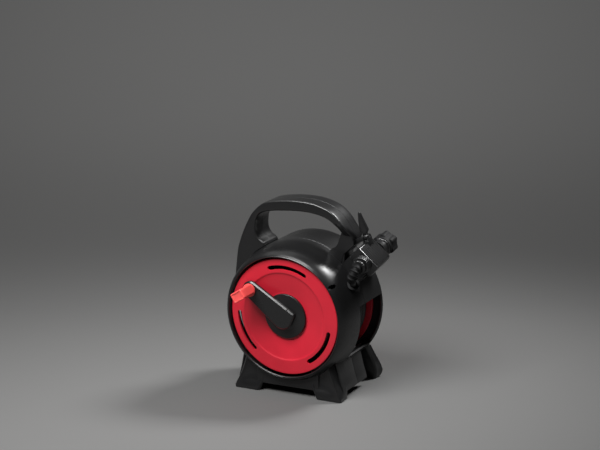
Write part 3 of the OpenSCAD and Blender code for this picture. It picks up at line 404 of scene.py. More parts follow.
def turned_wall(angles, outer, inner, place, kept=None, slots=(), rings=4):
    """Wall between two turned surfaces with openings in it.

    A point is the pair (angle, place along the profile). Cells that aren't kept are left out. Round each
    slot a block of cells gives way to the rings of slot_patch. The rim of every opening joins the outer
    surface to the inner one. A slot is (middle angle, half span of its straight part, radius, half width).
    """
    na, nv = len(angles), len(outer)
    theta, along = (g.ravel() for g in np.meshgrid(angles, np.arange(nv, dtype=float), indexing="ij"))
    cells = quads(na, nv, close_rows=True).reshape(na, nv - 1, 4)
    kept = np.ones((na, nv - 1), bool) if kept is None else kept.copy()
    faces = []
    for slot in slots:
        (i0, i1, j0, j1), (around, level), patch = slot_patch(angles, outer, slot, rings)
        kept[np.arange(i0, i1) % na, j0:j1] = False
        added = len(theta) + np.arange(rings * len(level)).reshape(rings, len(level))
        ids = np.vstack([around * nv + level, added])
        theta = np.concatenate([theta, patch[..., 0].ravel()])
        along = np.concatenate([along, patch[..., 1].ravel()])
        nxt = np.roll(ids, -1, axis=1)
        faces.append(np.stack([ids[:-1], nxt[:-1], nxt[1:], ids[1:]], axis=-1).reshape(-1, 4))
    grid_faces = cells[kept]
    if faces:
        ring_faces = np.vstack(faces)
        ring_faces = ring_faces if same_way(grid_faces, ring_faces) else ring_faces[:, ::-1]
        grid_faces = np.vstack([grid_faces, ring_faces])
    used, again = np.unique(grid_faces, return_inverse=True)
    flat = again.reshape(-1, 4)
    theta, along, n = theta[used], along[used], len(used)
    index = np.arange(nv)
    skins = []
    for line in (outer, inner):
        r, f = np.interp(along, index, line[:, 0]), np.interp(along, index, line[:, 1])
        skins.append(np.stack([r * np.cos(theta), r * np.sin(theta), f], axis=1))
    edges = edges_of(flat)
    rim = edges[~np.isin(edges[:, 0] * n + edges[:, 1], edges[:, 1] * n + edges[:, 0])]
    walls = np.stack([rim[:, 1], rim[:, 0], rim[:, 0] + n, rim[:, 1] + n], axis=1)
    return solid(moved(np.vstack(skins), place), flat, flat[:, ::-1] + n, walls)


def same_way(one, other):
    """Whether two sets of faces run the same way round: shared edges then have opposite directions."""
    a, b = ({tuple(e) for e in edges_of(f)} for f in (one, other))
    return not a & b


def rings_at(a, rows):
    """Rings round an axis: each row is a radius, one number or one for each angle in a, and a height."""
    one = np.ones(len(a))
    return np.array([np.column_stack([r * one * np.cos(a), r * one * np.sin(a), z * one]) for r, z in rows])


def tube(path, radius, out, steps):
    """Rings along a path: each ring lies square to the path, its first point towards out."""
    along = np.gradient(path, axis=0)
    along = along / np.linalg.norm(along, axis=1, keepdims=True)
    out = out - (out * along).sum(1, keepdims=True) * along
    out = out / np.linalg.norm(out, axis=1, keepdims=True)
    side = np.cross(along, out)
    t = np.arange(steps) * TURN / steps
    spoke = np.cos(t)[None, :, None] * out[:, None] + np.sin(t)[None, :, None] * side[:, None]
    return path[:, None] + np.broadcast_to(radius, len(path))[:, None, None] * spoke


# Pieces


FINISH = {}


def add_piece(name, skins, finish, body, nodes, smooth=38, uv=None):
    """One object from closed skins, at the origin, riding on a body and standing for CAD nodes.

    Edges sharper than smooth degrees stay sharp.
    """
    starts = np.cumsum([0] + [len(p) for p, _ in skins[:-1]])
    groups = [f + k for (_, faces), k in zip(skins, starts) for f in faces]
    points = np.vstack([p for p, _ in skins])
    corners = np.concatenate([g.ravel() for g in groups])
    counts = np.concatenate([np.full(len(g), g.shape[1]) for g in groups])
    mesh = bpy.data.meshes.new(name)
    mesh.vertices.add(len(points))
    mesh.vertices.foreach_set("co", points.ravel())
    mesh.loops.add(len(corners))
    mesh.loops.foreach_set("vertex_index", corners.astype(np.int32))
    mesh.polygons.add(len(counts))
    first = np.concatenate([[0], np.cumsum(counts)[:-1]])
    mesh.polygons.foreach_set("loop_start", first.astype(np.int32))
    mesh.polygons.foreach_set("use_smooth", np.ones(len(counts), bool))
    if uv is not None:
        layer = mesh.uv_layers.new(name="along")
        layer.data.foreach_set("uv", uv[corners].ravel())
    mesh.update(calc_edges=True)
    mesh.validate()
    mesh.set_sharp_from_angle(angle=math.radians(smooth))
    mesh.materials.append(FINISH[finish])
    obj = bpy.data.objects.new(name, mesh)
    bpy.context.scene.collection.objects.link(obj)
    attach(obj, body)
    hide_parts(*nodes)
    return obj


def carried(node, finish):
    """A CAD node whose shape is right keeps it and takes a finish."""
    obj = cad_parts[node]
    obj.data.materials.clear()
    obj.data.materials.append(FINISH[finish])


# Frames of the reel


def spun(view, turn, axis="Z"):
    """View turned round one of its own axes."""
    return view @ Matrix.Rotation(turn, 4, axis)


def shifted(view, *offset):
    """View moved along its own axes."""
    return view @ Matrix.Translation(offset)


def front_view(scene):
    """x right, y up from the drum axis, z to the front"""
    return spun(Matrix.Translation((0, 0, scene.reel_housing.axis_h)), math.pi / 2, "X")


def nozzle_view(scene):
    """x right, y up, z along the nozzle's axis to the front"""
    s = scene.reel_nozzle
    return spun(Matrix.Translation((s.across, 0, s.height)), math.pi / 2 + s.tilt, "X")


# Bend of the hose: radius of its arc, angle and direction of its turn, and the nut's end where it starts
ELBOW_R = 0.012
ELBOW_TURN = math.radians(135)
ELBOW_DIR = math.radians(-113.6)
NUT_FRONT = 0.038


def elbow_view(scene):
    """The bend starts at the origin along z and turns towards x"""
    return spun(shifted(nozzle_view(scene), 0, 0, NUT_FRONT), ELBOW_DIR)


def lead_view(scene):
    """z along the hose from the end of the bend into the housing"""
    end = (ELBOW_R * (1 - math.cos(ELBOW_TURN)), 0, ELBOW_R * math.sin(ELBOW_TURN))
    return spun(shifted(elbow_view(scene), *end), ELBOW_TURN, "Y")


# Pin of the lever in the nozzle's frame, and the lever's lean
LEVER_AT = (-0.007, 0.030, -0.011)
LEVER_LEAN = math.radians(14)


def lever_view(scene):
    """x along the pin, y up the lever, z to the front"""
    return spun(shifted(nozzle_view(scene), *LEVER_AT), LEVER_LEAN)


# Finishes


class Signal:
    """A number in a node tree; arithmetic on it adds Math nodes."""

    def __init__(self, finish, socket):
        self.finish = finish
        self.socket = socket

    def __add__(self, other):
        return self.finish.maths("ADD", self, other)

    def __radd__(self, other):
        return self.finish.maths("ADD", other, self)

    def __sub__(self, other):
        return self.finish.maths("SUBTRACT", self, other)

    def __rsub__(self, other):
        return self.finish.maths("SUBTRACT", other, self)

    def __mul__(self, other):
        return self.finish.maths("MULTIPLY", self, other)

    def __rmul__(self, other):
        return self.finish.maths("MULTIPLY", other, self)


class Finish:
    """A procedural material: a Principled shader and the signals that feed it."""

    def __init__(self, name, constants):
        self.material = bpy.data.materials.new(name)
        self.material.use_nodes = True
        self.tree = self.material.node_tree
        self.tree.nodes.clear()
        self.shader = self.node("ShaderNodeBsdfPrincipled", {}, constants)
        out = self.node("ShaderNodeOutputMaterial")
        self.tree.links.new(self.shader.outputs[0], out.inputs["Surface"])
        self.where = self.signal(self.node("ShaderNodeTexCoord"), "Object")

    def node(self, kind, settings=None, inputs=None):
        """Any node: its settings first, then the values or links of its sockets."""
        made = self.tree.nodes.new(kind)
        for key, value in (settings or {}).items():
            setattr(made, key, value)
        for key, value in (inputs or {}).items():
            if isinstance(value, Signal):
                self.tree.links.new(value.socket, made.inputs[key])
            else:
                made.inputs[key].default_value = value
        return made

    def signal(self, node, output=0):
        """Output of a node as a signal."""
        return Signal(self, node.outputs[output])

    def maths(self, operation, one, other):
        """Math node on two values."""
        return self.signal(self.node("ShaderNodeMath", {"operation": operation}, {0: one, 1: other}))

    def noise(self, scale, detail=3.0, rough=0.55, where=None):
        """Cloudy noise, its scale in cells to the metre."""
        inputs = {"Vector": where or self.where, "Scale": scale, "Detail": detail, "Roughness": rough}
        return self.signal(self.node("ShaderNodeTexNoise", {}, inputs), "Fac")

    def stretched(self, size):
        """Object coordinates scaled by axis, for marks that run one way."""
        return self.signal(self.node("ShaderNodeMapping", {}, {"Vector": self.where, "Scale": size}))

    def band(self, value, low, high):
        """0 below low, 1 above high, smooth between."""
        inputs = {"Value": value, "From Min": low, "From Max": high}
        settings = {"interpolation_type": "SMOOTHSTEP"}
        return self.signal(self.node("ShaderNodeMapRange", settings, inputs))

    def mixed(self, share, one, other):
        """Colour between two."""
        made = self.node("ShaderNodeMix", {"data_type": "RGBA"}, {0: share, 6: one, 7: other})
        return Signal(self, made.outputs[2])

    def bump(self, height, distance, strength):
        """Normal tilted by the slope of a height."""
        inputs = {"Height": height, "Distance": distance, "Strength": strength}
        return self.signal(self.node("ShaderNodeBump", {}, inputs))

    def feed(self, socket, value):
        """Link a signal to a socket of the shader."""
        self.tree.links.new(value.socket, self.shader.inputs[socket])


def rgba(c, k=1.0):
    """Colour c scaled by k, with alpha."""
    return (min(c[0] * k, 1), min(c[1] * k, 1), min(c[2] * k, 1), 1.0)


def moulded(name, tone, rough, grain, scuff, specular=0.5):
    """Moulded plastic: spark-eroded grain, cloudy tone, and hair scuffs that catch the light."""
    m = Finish(name, {"Specular IOR Level": specular})
    cloud = m.noise(22, 4)
    fine = m.noise(grain, 2, 0.6)
    hair = m.noise(60, 2, 0.5, m.stretched((1.0, 9.0, 16.0)))
    marks = m.band(hair, 0.66, 0.74) * m.band(m.noise(9, 2), 0.5, 0.66) * scuff
    shade = m.mixed(cloud, rgba(tone, 0.86), rgba(tone, 1.14))
    pale = rgba(tuple(min(c * 1.6 + 0.02, 1) for c in tone))
    m.feed("Base Color", m.mixed(marks * 0.5, shade, pale))
    m.feed("Roughness", rough + (cloud - 0.5) * 0.12 + (fine - 0.5) * 0.08 + marks * 0.12)
    m.feed("Normal", m.bump(fine, 0.00006, 0.35))
    return m.material


def hose_jacket(name, tone):
    """Hose jacket: fine ribs along the hose and a soft satin bloom."""
    m = Finish(name, {"Specular IOR Level": 0.5})
    along = m.signal(m.node("ShaderNodeUVMap", {"uv_map": "along"}))
    uv = m.node("ShaderNodeSeparateXYZ", {}, {"Vector": along})
    ribs = m.maths("SINE", m.signal(uv, "X") * (TURN * 24), 0.0) * 0.5 + 0.5
    cloud = m.noise(40, 3)
    bloom = m.noise(260, 2)
    m.feed("Base Color", m.mixed(cloud, rgba(tone, 0.8), rgba(tone, 1.25)))
    m.feed("Roughness", 0.34 + cloud * 0.12 + bloom * 0.06)
    m.feed("Normal", m.bump(ribs * 0.6 + bloom * 0.4, 0.00012, 0.4))
    return m.material


def plated(name, tone):
    """Plated steel: fine lathe lines and dull patches."""
    m = Finish(name, {"Metallic": 1.0})
    lines = m.noise(900, 2, 0.5, m.stretched((1.0, 0.15, 1.0)))
    dull = m.noise(350, 3)
    m.feed("Base Color", m.mixed(dull, rgba(tone, 0.75), rgba(tone, 1.1)))
    m.feed("Roughness", 0.26 + dull * 0.2 + lines * 0.08)
    m.feed("Normal", m.bump(lines, 0.00003, 0.25))
    return m.material


def make_finishes(scene):
    """All finishes. A moulded one has its tone, roughness, grain, share of scuffs and gloss."""
    c = scene.reel_finish
    FINISH["black"] = moulded("moulded_black", tuple(c.black), 0.29, 2600, 0.6)
    FINISH["soft"] = moulded("soft_black", tuple(c.soft_black), 0.60, 1500, 0.3, 0.12)
    FINISH["red"] = moulded("moulded_red", tuple(c.red), 0.36, 3000, 0.5)
    FINISH["coral"] = moulded("knob_coral", tuple(c.coral), 0.34, 3000, 0.5)
    FINISH["natural"] = moulded("natural_plastic", tuple(c.natural), 0.42, 2600, 0.3)
    FINISH["seal"] = moulded("seal_rubber", (0.008, 0.008, 0.008), 0.5, 1200, 0.0)
    FINISH["hose"] = hose_jacket("hose_jacket", tuple(c.hose))
    FINISH["steel"] = plated("plated_steel", tuple(c.steel))


# Housing

# Front view in millimetres from the middle of the floor: outer line of the handle, then the grip opening's
HANDLE_OUTER = [
    (-111.6, 150), (-110.4, 172), (-108, 190), (-104, 216), (-100.8, 227.6), (-97, 238), (-92.2, 249.5),
    (-87, 260), (-82.8, 267.6), (-79, 274.2), (-73.5, 281.8), (-63, 292), (-50, 300), (-32, 304.6),
    (-8, 307.5), (14, 308), (34, 306.4), (52, 302), (65, 296.5), (74.5, 289.3), (83, 280.2), (92, 266.6),
    (97.6, 257), (98.6, 251.8), (96.4, 247.2), (91.6, 241), (87, 235.4), (83.4, 226), (81.2, 214),
    (80.5, 205.5),
]
HANDLE_INNER = [
    (-108.8, 150), (-102.2, 172), (-92.8, 190), (-69.4, 216), (-54.6, 226.4), (-54, 233.4), (-62, 239.2),
    (-67, 245.6), (-69, 253), (-68.5, 264), (-66.5, 272.6), (-61, 279.8), (-52, 284.2), (-36, 287.4),
    (-9, 290.1), (12, 291), (30, 290.2), (46, 287.6), (58, 283.8), (66.6, 279), (73.6, 272.2),
    (78.2, 263.4), (79.2, 256), (78.8, 251), (77.8, 247), (76.4, 243), (75, 238.6), (73.6, 231),
    (72.4, 222), (71.8, 213.6),
]

# Millimetres: height, then how far the inner side, ridge, outer side, front, scoop and back lie from the
# foot's own sizes
FRONT_FOOT = [
    (0, 1, -1, -1, 1, 0, 1), (1.2, 0, 0, 0, 0, 0, 0), (6, -2, -0.5, 0, 0, 0.5, 0),
    (12, -5, -3.5, 0, 0.8, 1.4, 1), (18, -7.5, -6.5, -1, 2, 2.4, 2), (28, -9.5, -11, -4, 3.5, 3, 4),
    (40, -11, -15.5, -7, 4, 3, 6), (56, -11, -21, -11, 4.5, 2, 9),
]
REAR_FOOT = [
    (0, 1, -1, -1, -17, 0, -25), (1.2, 0, 0, 0, -18, 0, -25.8), (6, -2, 3, 1, -18, 0.3, -25.8),
    (12, -5, 5, 2, -17, 0.8, -25.5), (18, -7.5, 4.5, 2, -15.5, 1.4, -25),
    (28, -9.5, 2, 0, -12.5, 1.6, -23.5), (40, -11, -3, -4.5, -9, 1.4, -21),
    (56, -11, -9, -10, -5, 1, -17),
]
# Shoulder in front view, millimetres from the middle of the floor, and its front from the parting plane
SHOULDER_IN = [(55, 228), (60.9, 233.7), (67.6, 237.9), (71.8, 243.7), (74.9, 252.8), (79, 262)]
SHOULDER_OUT = [(92, 262), (99, 249), (99.6, 242.2), (90.7, 234.4), (80.5, 225.3), (76, 208), (60, 205)]
SHOULDER_FRONT = 0.011
# The rolled edge stays below the fillet, or the end face would cross itself
SHOULDER_EDGE, SHOULDER_FILLET = 0.0009, 0.001
# The right leg lies beyond LEG_IN; from LEG_HIGH to LEG_LOW it falls to LEG_STEP behind the shoulder's front
LEG_LOW, LEG_HIGH = 0.2561, 0.276
LEG_IN, LEG_STEP = 0.055, 0.0010
# Largest roll of the handle's edges, as a share of its thickness
ROLL_SHARE = 0.45
# Side skirt in millimetres: height above its lower edge, and how far it lies inside the feet
SKIRT = [(0, 0.3), (7, 1.5), (19, 5), (32, 8), (45, 11), (51, 12.5)]
SKIRT_WALL, SKIRT_BACK = 0.003, 0.032
# Apron: its faces from the parting plane, its lap behind the feet and its drop below the round wall
APRON_NEAR, APRON_FAR = 0.0395, 0.0575
APRON_LAP = 0.004
APRON_DROP = {1: 0.0075, -1: 0.0015}
# Case screws: their circle, holes, turns and seats
SCREW_R, SCREW_HOLE = 0.1028, 0.0038
FRONT_SCREW = math.radians(34)
REAR_SCREWS = tuple(math.radians(a) for a in (146, 222, 318))
FRONT_SEAT, REAR_SEAT = 0.046, -0.052
# Screw wells: radii of bore, inside and outside, thickness of the floor, and rims below the skin
WELL_BORE, WELL_IN, WELL_OUT, WELL_FLOOR = 0.0018, 0.0037, 0.0048, 0.003
FRONT_SINK, REAR_SINK = 0.0006, 0.0025


def leg_depth(xy, half, way):
    """Half depth of the handle at places in front view.

    The front of the right leg falls evenly from the full depth to just behind the shoulder's front.
    """
    low = SHOULDER_FRONT - LEG_STEP
    fall = low + (half - low) * np.clip((xy[:, 1] - LEG_LOW) / (LEG_HIGH - LEG_LOW), 0, 1)
    return np.where((xy[:, 0] > LEG_IN) & (way > 0), fall, half)


def handle_half(scene, way):
    """Half of the handle: sections from the outer line to the grip opening, carried round the arch.

    Both edges are rolled, each by its radius, or by a share of the thickness where the handle is thin.
    """
    s, h = scene.reel_handle, scene.reel_housing
    lines = []
    for ctrl in (HANDLE_OUTER, HANDLE_INNER):
        line = curve_through(mm(*ctrl), 6)
        depth = leg_depth(line, s.depth / 2, way)
        lines += [line - (0, h.axis_h), -side_of(line, closed=False), depth]
    outer, out_n, out_d, inner, in_n, in_d = lines
    seam = h.seam
    t = np.linspace(0, math.pi / 2, 7)
    room = ROLL_SHARE * np.linalg.norm(outer - inner, axis=1)
    edge, flare = np.minimum(s.edge_r, room), np.minimum(s.flare_r, room)
    out_roll, in_roll = edge[:, None] * out_n, flare[:, None] * in_n
    sections = [(outer - seam * out_n, 0 * out_d), (outer, 0 * out_d + seam), (outer, (out_d - edge) * 0.6)]
    sections += [(outer - (1 - math.cos(a)) * out_roll, out_d - edge * (1 - math.sin(a))) for a in t]
    face_o, face_i = outer - out_roll, inner + in_roll
    sections += [(face_o + (face_i - face_o) * k, out_d + (in_d - out_d) * k) for k in (0.25, 0.5, 0.75)]
    sections += [(inner + (1 - math.cos(a)) * in_roll, in_d - flare * (1 - math.sin(a))) for a in t[::-1]]
    sections += [(inner, (in_d - flare) * 0.6), (inner, 0 * in_d + seam), (inner + seam * in_n, 0 * in_d)]
    grid = np.stack([np.column_stack([xy, way * f]) for xy, f in sections], axis=1)
    return lofted(moved(grid, front_view(scene)))


def shoulder(scene, way):
    """Shoulder that carries the handle's right leg, with a rolled front edge."""
    inner = curve_through(mm(*SHOULDER_IN), 4)
    outline = np.vstack([inner, mm(*SHOULDER_OUT)]) - (0, scene.reel_housing.axis_h)
    low, high = (-SHOULDER_EDGE, SHOULDER_FRONT) if way > 0 else (-scene.reel_handle.depth / 2, 0.0)
    return prism(filleted(outline[::-1], SHOULDER_FILLET, 2), low, high, SHOULDER_EDGE, front_view(scene))


def foot_rings(scene, levels, hand, way):
    """Foot: level by level a section with a scooped front, a ridge at its outer corner and a flared side."""
    s = scene.reel_feet
    rows = curve_through(mm(*levels), 5)
    z, a, b, c, d, e, g = rows.T
    r, side_d = 0.004, 0.015
    x0, xr, x1 = s.inside + a, s.outside + b, s.outside + c
    z1, z0 = s.front - d, s.front - s.depth - g
    side = np.minimum(side_d, z1 - z0 - r - 0.001)
    pts = [(x1, z1 - side), (xr + 0.0006, z1 - r / 2), (xr - 0.15 * r, z1 - 0.12 * r), (xr - r / 2, z1)]
    for k in np.linspace(0.1, 0.92, 9):
        pts.append((xr + (x0 - xr) * k, z1 - e * 1.2 * math.sin(math.pi * k) ** 0.8))
    q = np.radians((0, 22.5, 45, 67.5, 90))
    pts += [(x0 + r - r * math.sin(k), z1 - r + r * math.cos(k)) for k in q]
    pts += [(x0 + r - r * math.cos(k), z0 + r - r * math.sin(k)) for k in q]
    pts += [(x1 - r + r * math.sin(k), z0 + r - r * math.cos(k)) for k in q]
    up = z - scene.reel_housing.axis_h
    grid = np.stack([np.stack([hand * x, up, way * f], axis=-1) for x, f in pts], axis=1)
    return lofted(moved(grid, front_view(scene)))


def skirts(scene, way):
    """Side skirts between the feet and the apron between the two feet of this half.

    A skirt is its side line carried along the depth; the apron reaches from the skirt's gap up to a circle.
    """
    s, h = scene.reel_feet, scene.reel_housing
    line = curve_through(mm(*SKIRT), 4)
    side = np.column_stack([s.outside - line[:, 1], s.skirt_gap + line[:, 0] - h.axis_h])
    outline = np.vstack([side, side[::-1] - (SKIRT_WALL, 0)])
    depth = s.front - s.depth / 2 if way > 0 else SKIRT_BACK
    view = front_view(scene)
    low, high = sorted((0.0, way * depth))
    made = [prism(outline * (hand, 1), low, high, 0.0006, view) for hand in (1, -1)]
    half = s.inside + APRON_LAP
    x = np.linspace(half, -half, 25)
    top_r = h.radius - APRON_DROP[way]
    low_z = s.skirt_gap - h.axis_h
    band = np.vstack([[(-half, low_z), (half, low_z)], np.column_stack([x, -np.sqrt(top_r**2 - x**2)])])
    low, high = sorted((way * APRON_NEAR, way * APRON_FAR))
    made.append(prism(band, low, high, 0.0010, view))
    return made


def window_angles(scene):
    """Angles round the housing, with the edges of both side windows among them."""
    h = scene.reel_housing
    up, down = math.asin(h.window_up / h.radius), math.asin(h.window_down / h.radius)
    spans = [(-down, up, 18), (up, math.pi - up, 74), (math.pi - up, math.pi + down, 18)]
    spans.append((math.pi + down, TURN - down, 46))
    return np.concatenate([np.linspace(a, b, n, endpoint=False) for a, b, n in spans]), up, down


def windows_kept(scene, angles, up, down, line):
    """Which cells of the round wall stay: all but those of the side windows."""
    mid = angles + 0.5 * (np.roll(angles, -1) - angles) % TURN
    beside = ((mid > -down) & (mid < up)) | ((mid > math.pi - up) & (mid < math.pi + down))
    h = scene.reel_housing
    middle = (line[:-1, 1] + line[1:, 1]) / 2
    inside = (middle < h.window_front) & (middle > -h.window_back)
    return ~(beside[:, None] & inside[None, :])


def front_ring(scene):
    """Front half of the round wall: a quarter ellipse from the lip back to the cylinder, turned."""
    h = scene.reel_housing
    wide = h.radius - h.mouth_r
    edge_t = math.acos((h.window_front - h.depth + h.round_d) / h.round_d)
    t = np.concatenate([np.linspace(math.pi / 2, edge_t, 7), np.linspace(edge_t, math.radians(15), 24)[1:]])

    def line(inset):
        """The ellipse, with both its half axes shorter by the inset."""
        r = h.mouth_r + (wide - inset) * np.sin(t)
        return np.column_stack([r, h.depth - h.round_d + (h.round_d - inset) * np.cos(t)])

    foot = 0.0035
    lip_r = h.mouth_r + MM * np.array([2.9, 2.5, 2.1, 1.2, 0.4, 0])
    lip_f = h.depth - MM * np.array([1.0, 1.3, 0.6, 0, 0.4, 1.0])
    back_r = h.mouth_r + MM * np.array([2.0, 1.6, 1.2, 0.8, 0.4, 0])
    back_f = np.full(len(back_r), h.depth - h.wall)
    inner_r = h.radius - h.wall
    ends = [(h.radius - h.seam, 0), (h.radius, h.seam), (h.radius, foot)]
    outer = np.vstack([ends, line(0), np.column_stack([lip_r, lip_f])])
    ends = [(inner_r, 0), (inner_r, h.seam), (inner_r, foot)]
    inner = np.vstack([ends, line(h.wall), np.column_stack([back_r, back_f])])
    angles, up, down = window_angles(scene)
    kept = windows_kept(scene, angles, up, down, outer)
    slots = [(FRONT_SCREW, 0.0, SCREW_R, SCREW_HOLE)]
    return turned_wall(angles, outer, inner, front_view(scene), kept, slots)


def rear_ring(scene):
    """Rear half of the round wall: cylinder, quarter round and flat back, turned round the axis."""
    h = scene.reel_housing
    edge_t = math.acos((h.window_back - h.depth + h.rear_round) / h.rear_round)
    t = np.concatenate([np.linspace(math.pi / 2, edge_t, 4), np.linspace(edge_t, 0, 10)[1:]])
    corner = h.radius - h.rear_round

    def line(inset_r, inset_f):
        """The quarter round, with its half axes shorter by the insets."""
        r = corner + (h.rear_round - inset_r) * np.sin(t)
        return np.column_stack([r, -h.depth + h.rear_round - (h.rear_round - inset_f) * np.cos(t)])

    f = -np.array([0.010, 0.020, 0.029, 0.038, 0.048])
    r = np.array([0.101, 0.099, 0.097, 0.0945, 0.091])
    r = np.concatenate([r, h.rear_mouth_r + MM * np.array([1.0, 0.3, 0])])
    back = MM * np.array([0, 0, 0, 0, 0, 0, 0.3, 1.0]) - h.depth
    inside = np.full(len(r), h.rear_wall - h.depth)
    inner_r = h.radius - h.wall
    ends = [(h.radius - h.seam, 0), (h.radius, -h.seam)]
    tube_wall = np.column_stack([np.full(len(f), h.radius), f])
    outer = np.vstack([ends, tube_wall, line(0, 0), np.column_stack([r, back])])
    ends = [(inner_r, 0), (inner_r, -h.seam)]
    tube_wall = np.column_stack([np.full(len(f), inner_r), f])
    inner = np.vstack([ends, tube_wall, line(h.wall, h.rear_wall), np.column_stack([r, inside])])
    angles, up, down = window_angles(scene)
    kept = windows_kept(scene, angles, up, down, outer)
    slots = [(a, 0.0, SCREW_R, SCREW_HOLE) for a in REAR_SCREWS]
    return turned_wall(angles, outer, inner, front_view(scene), kept, slots)


def front_skin(scene, r):
    """How far forward the front half's skin lies at a radius: the quarter ellipse of front_ring."""
    h = scene.reel_housing
    share = np.clip((r - h.mouth_r) / (h.radius - h.mouth_r), 0, 1)
    return h.depth - h.round_d + h.round_d * np.sqrt(1 - share**2)


def screw_well(scene, turn, f_floor, rim):
    """Sleeve round a case screw's head: an outline turned round the screw, its rim where the wall lies."""
    way = 1 if f_floor > 0 else -1
    a = np.linspace(0, TURN, 32, endpoint=False)[:, None]
    rho = np.array([WELL_BORE, WELL_IN, WELL_IN, WELL_OUT, WELL_OUT, WELL_BORE])
    under = f_floor - way * WELL_FLOOR
    f = np.tile([f_floor, f_floor, 0, 0, under, under], (len(a), 1))
    f[:, 2:4] = rim(np.hypot(SCREW_R + rho[2:4] * np.cos(a), rho[2:4] * np.sin(a)))
    grid = np.stack([rho * np.cos(a), rho * np.sin(a), f], axis=-1)
    return looped(moved(grid, shifted(spun(front_view(scene), turn), SCREW_R, 0, 0)))


def spider(scene):
    """Cup that carries the spindle and the three flat spokes that hold it."""
    h = scene.reel_housing
    view = front_view(scene)
    cup = [(0.0111, -0.045), (0.030, -0.045), (0.030, -h.depth), (0.033, -h.depth)]
    cup += [(0.033, -0.042), (0.0111, -0.042)]
    made = [turned(filleted(cup, [0.0003, 0.0015, 0.0008, 0.0008, 0.002, 0.0003]), view)]
    near, far, half = 0.0315, h.rear_mouth_r + 0.0015, 0.015
    bar = filleted([(near, -half), (far, -half), (far, half), (near, half)], 0.0009)
    for k in range(3):
        spoke = spun(view, math.radians(90 + 120 * k))
        made.append(prism(bar, -h.depth, h.rear_wall - h.depth, 0.0008, spoke))
    return made


def build_front_housing(scene):
    """Front half: round wall, half of the handle, shoulder, screw well, feet and skirts."""
    made = [front_ring(scene), handle_half(scene, 1), shoulder(scene, 1)]
    made.append(screw_well(scene, FRONT_SCREW, FRONT_SEAT, lambda r: front_skin(scene, r) - FRONT_SINK))
    made += [foot_rings(scene, FRONT_FOOT, hand, 1) for hand in (1, -1)] + skirts(scene, 1)
    add_piece("front_housing", made, "black", "housing", ["front_shell"])


def build_rear_housing(scene):
    """Rear half: round wall, half of the handle, shoulder, spider, screw wells, feet and skirts."""
    made = [rear_ring(scene), handle_half(scene, -1), shoulder(scene, -1)] + spider(scene)
    rim = REAR_SINK - scene.reel_housing.depth
    made += [screw_well(scene, a, REAR_SEAT, lambda r: rim) for a in REAR_SCREWS]
    made += [foot_rings(scene, REAR_FOOT, hand, -1) for hand in (1, -1)] + skirts(scene, -1)
    nodes = ["rear_shell", "rear_spider"]
    add_piece("rear_housing", made, "black", "housing", nodes)


# Drum

# Millimetres: radius and height over the floor of the dish; then the thickness under the floor
DISH = [
    (20, 0), (30, 0), (37.5, 0), (38.5, 0.1), (40, 0.4), (52, 2.66), (64, 4.8), (68.5, 5.6), (69.8, 6.0),
    (70.5, 6.4),
]
DISH_WALL = 0.003


def build_flanges(scene):
    """Front disc: a dished outline turned round the axis, with three arc slots. The rear disc is plain."""
    d = scene.reel_drum
    view = front_view(scene)
    face, floor, back = d.face, d.face - d.dish_d, d.face - d.flange_t
    rim = MM * np.array([73.5, 75, 76.5, 78, 80, 82, 83.5, 85, 87, 89, 91, 92.5])
    front = np.vstack(
        [
            mm(*DISH) + (0, floor),
            [(0.0712, face - 0.0002), (0.0720, face)],
            np.column_stack([rim, np.full(len(rim), face)]),
            [(0.0932, face - 0.0001), (0.0937, face - 0.0004), (d.flange_r, face - 0.0010)],
        ]
    )
    behind = front.copy()
    under = floor - DISH_WALL
    behind[:, 1] = np.interp(front[:, 0], [0.020, 0.046, 0.069, d.flange_r], [under, under, back, back])
    angles = np.radians(np.arange(0, 360, 1.5))
    starts = [(scene.reel_crank.turn - math.radians(60 - 120 * k)) % TURN for k in range(3)]
    slots = [(a, d.slot_span / 2, d.slot_r, d.slot_w / 2) for a in starts]
    skin = turned_wall(angles, front, behind, view, None, slots)
    add_piece("drum_front_disc", [skin], "red", "drum", ["drum_front_flange"])
    rear = mm((34.5, -60.5), (91, -60.5), (91, -61.5), (94, -61.5), (94, -57), (34.5, -57))
    skin = turned(filleted(rear, [0.0006, 0.0003, 0.0004, 0.0006, 0.0006, 0.0006]), view, 144)
    add_piece("drum_rear_disc", [skin], "red", "drum", ["drum_rear_flange"])


def build_drum_core(scene):
    """Barrel, plate and sleeve of the drum: turned outlines, with six webs between them."""
    view = front_view(scene)
    barrel = mm((42, -57), (45, -57), (45, 52), (22.5, 52), (22.5, 48), (42, 48))
    sleeve = box_of(13, 16, -36, 45)
    made = [turned(filleted(barrel, 0.0004, 2), view), turned(filleted(sleeve, 0.0004, 2), view, 48)]
    web = filleted(box_of(15.5, 42.5, -1.25, 1.25), 0.0003, 2)
    turns = [math.radians(30 + 60 * k) for k in range(6)]
    made += [prism(web, -0.035, 0.044, 0.0003, spun(view, turn), 2) for turn in turns]
    add_piece("drum_barrel", made, "black", "drum", ["drum_core"])


# Hose

# Winding: its ends along the axis, turns taken to rise a layer, points to a turn and angle of its start
HOSE_LOW, HOSE_HIGH = -0.0519, 0.0470
RISE = 0.4
TURN_POINTS = 44
HOSE_START = math.radians(30)
# Length of the straight lead
LEAD_L = 0.052


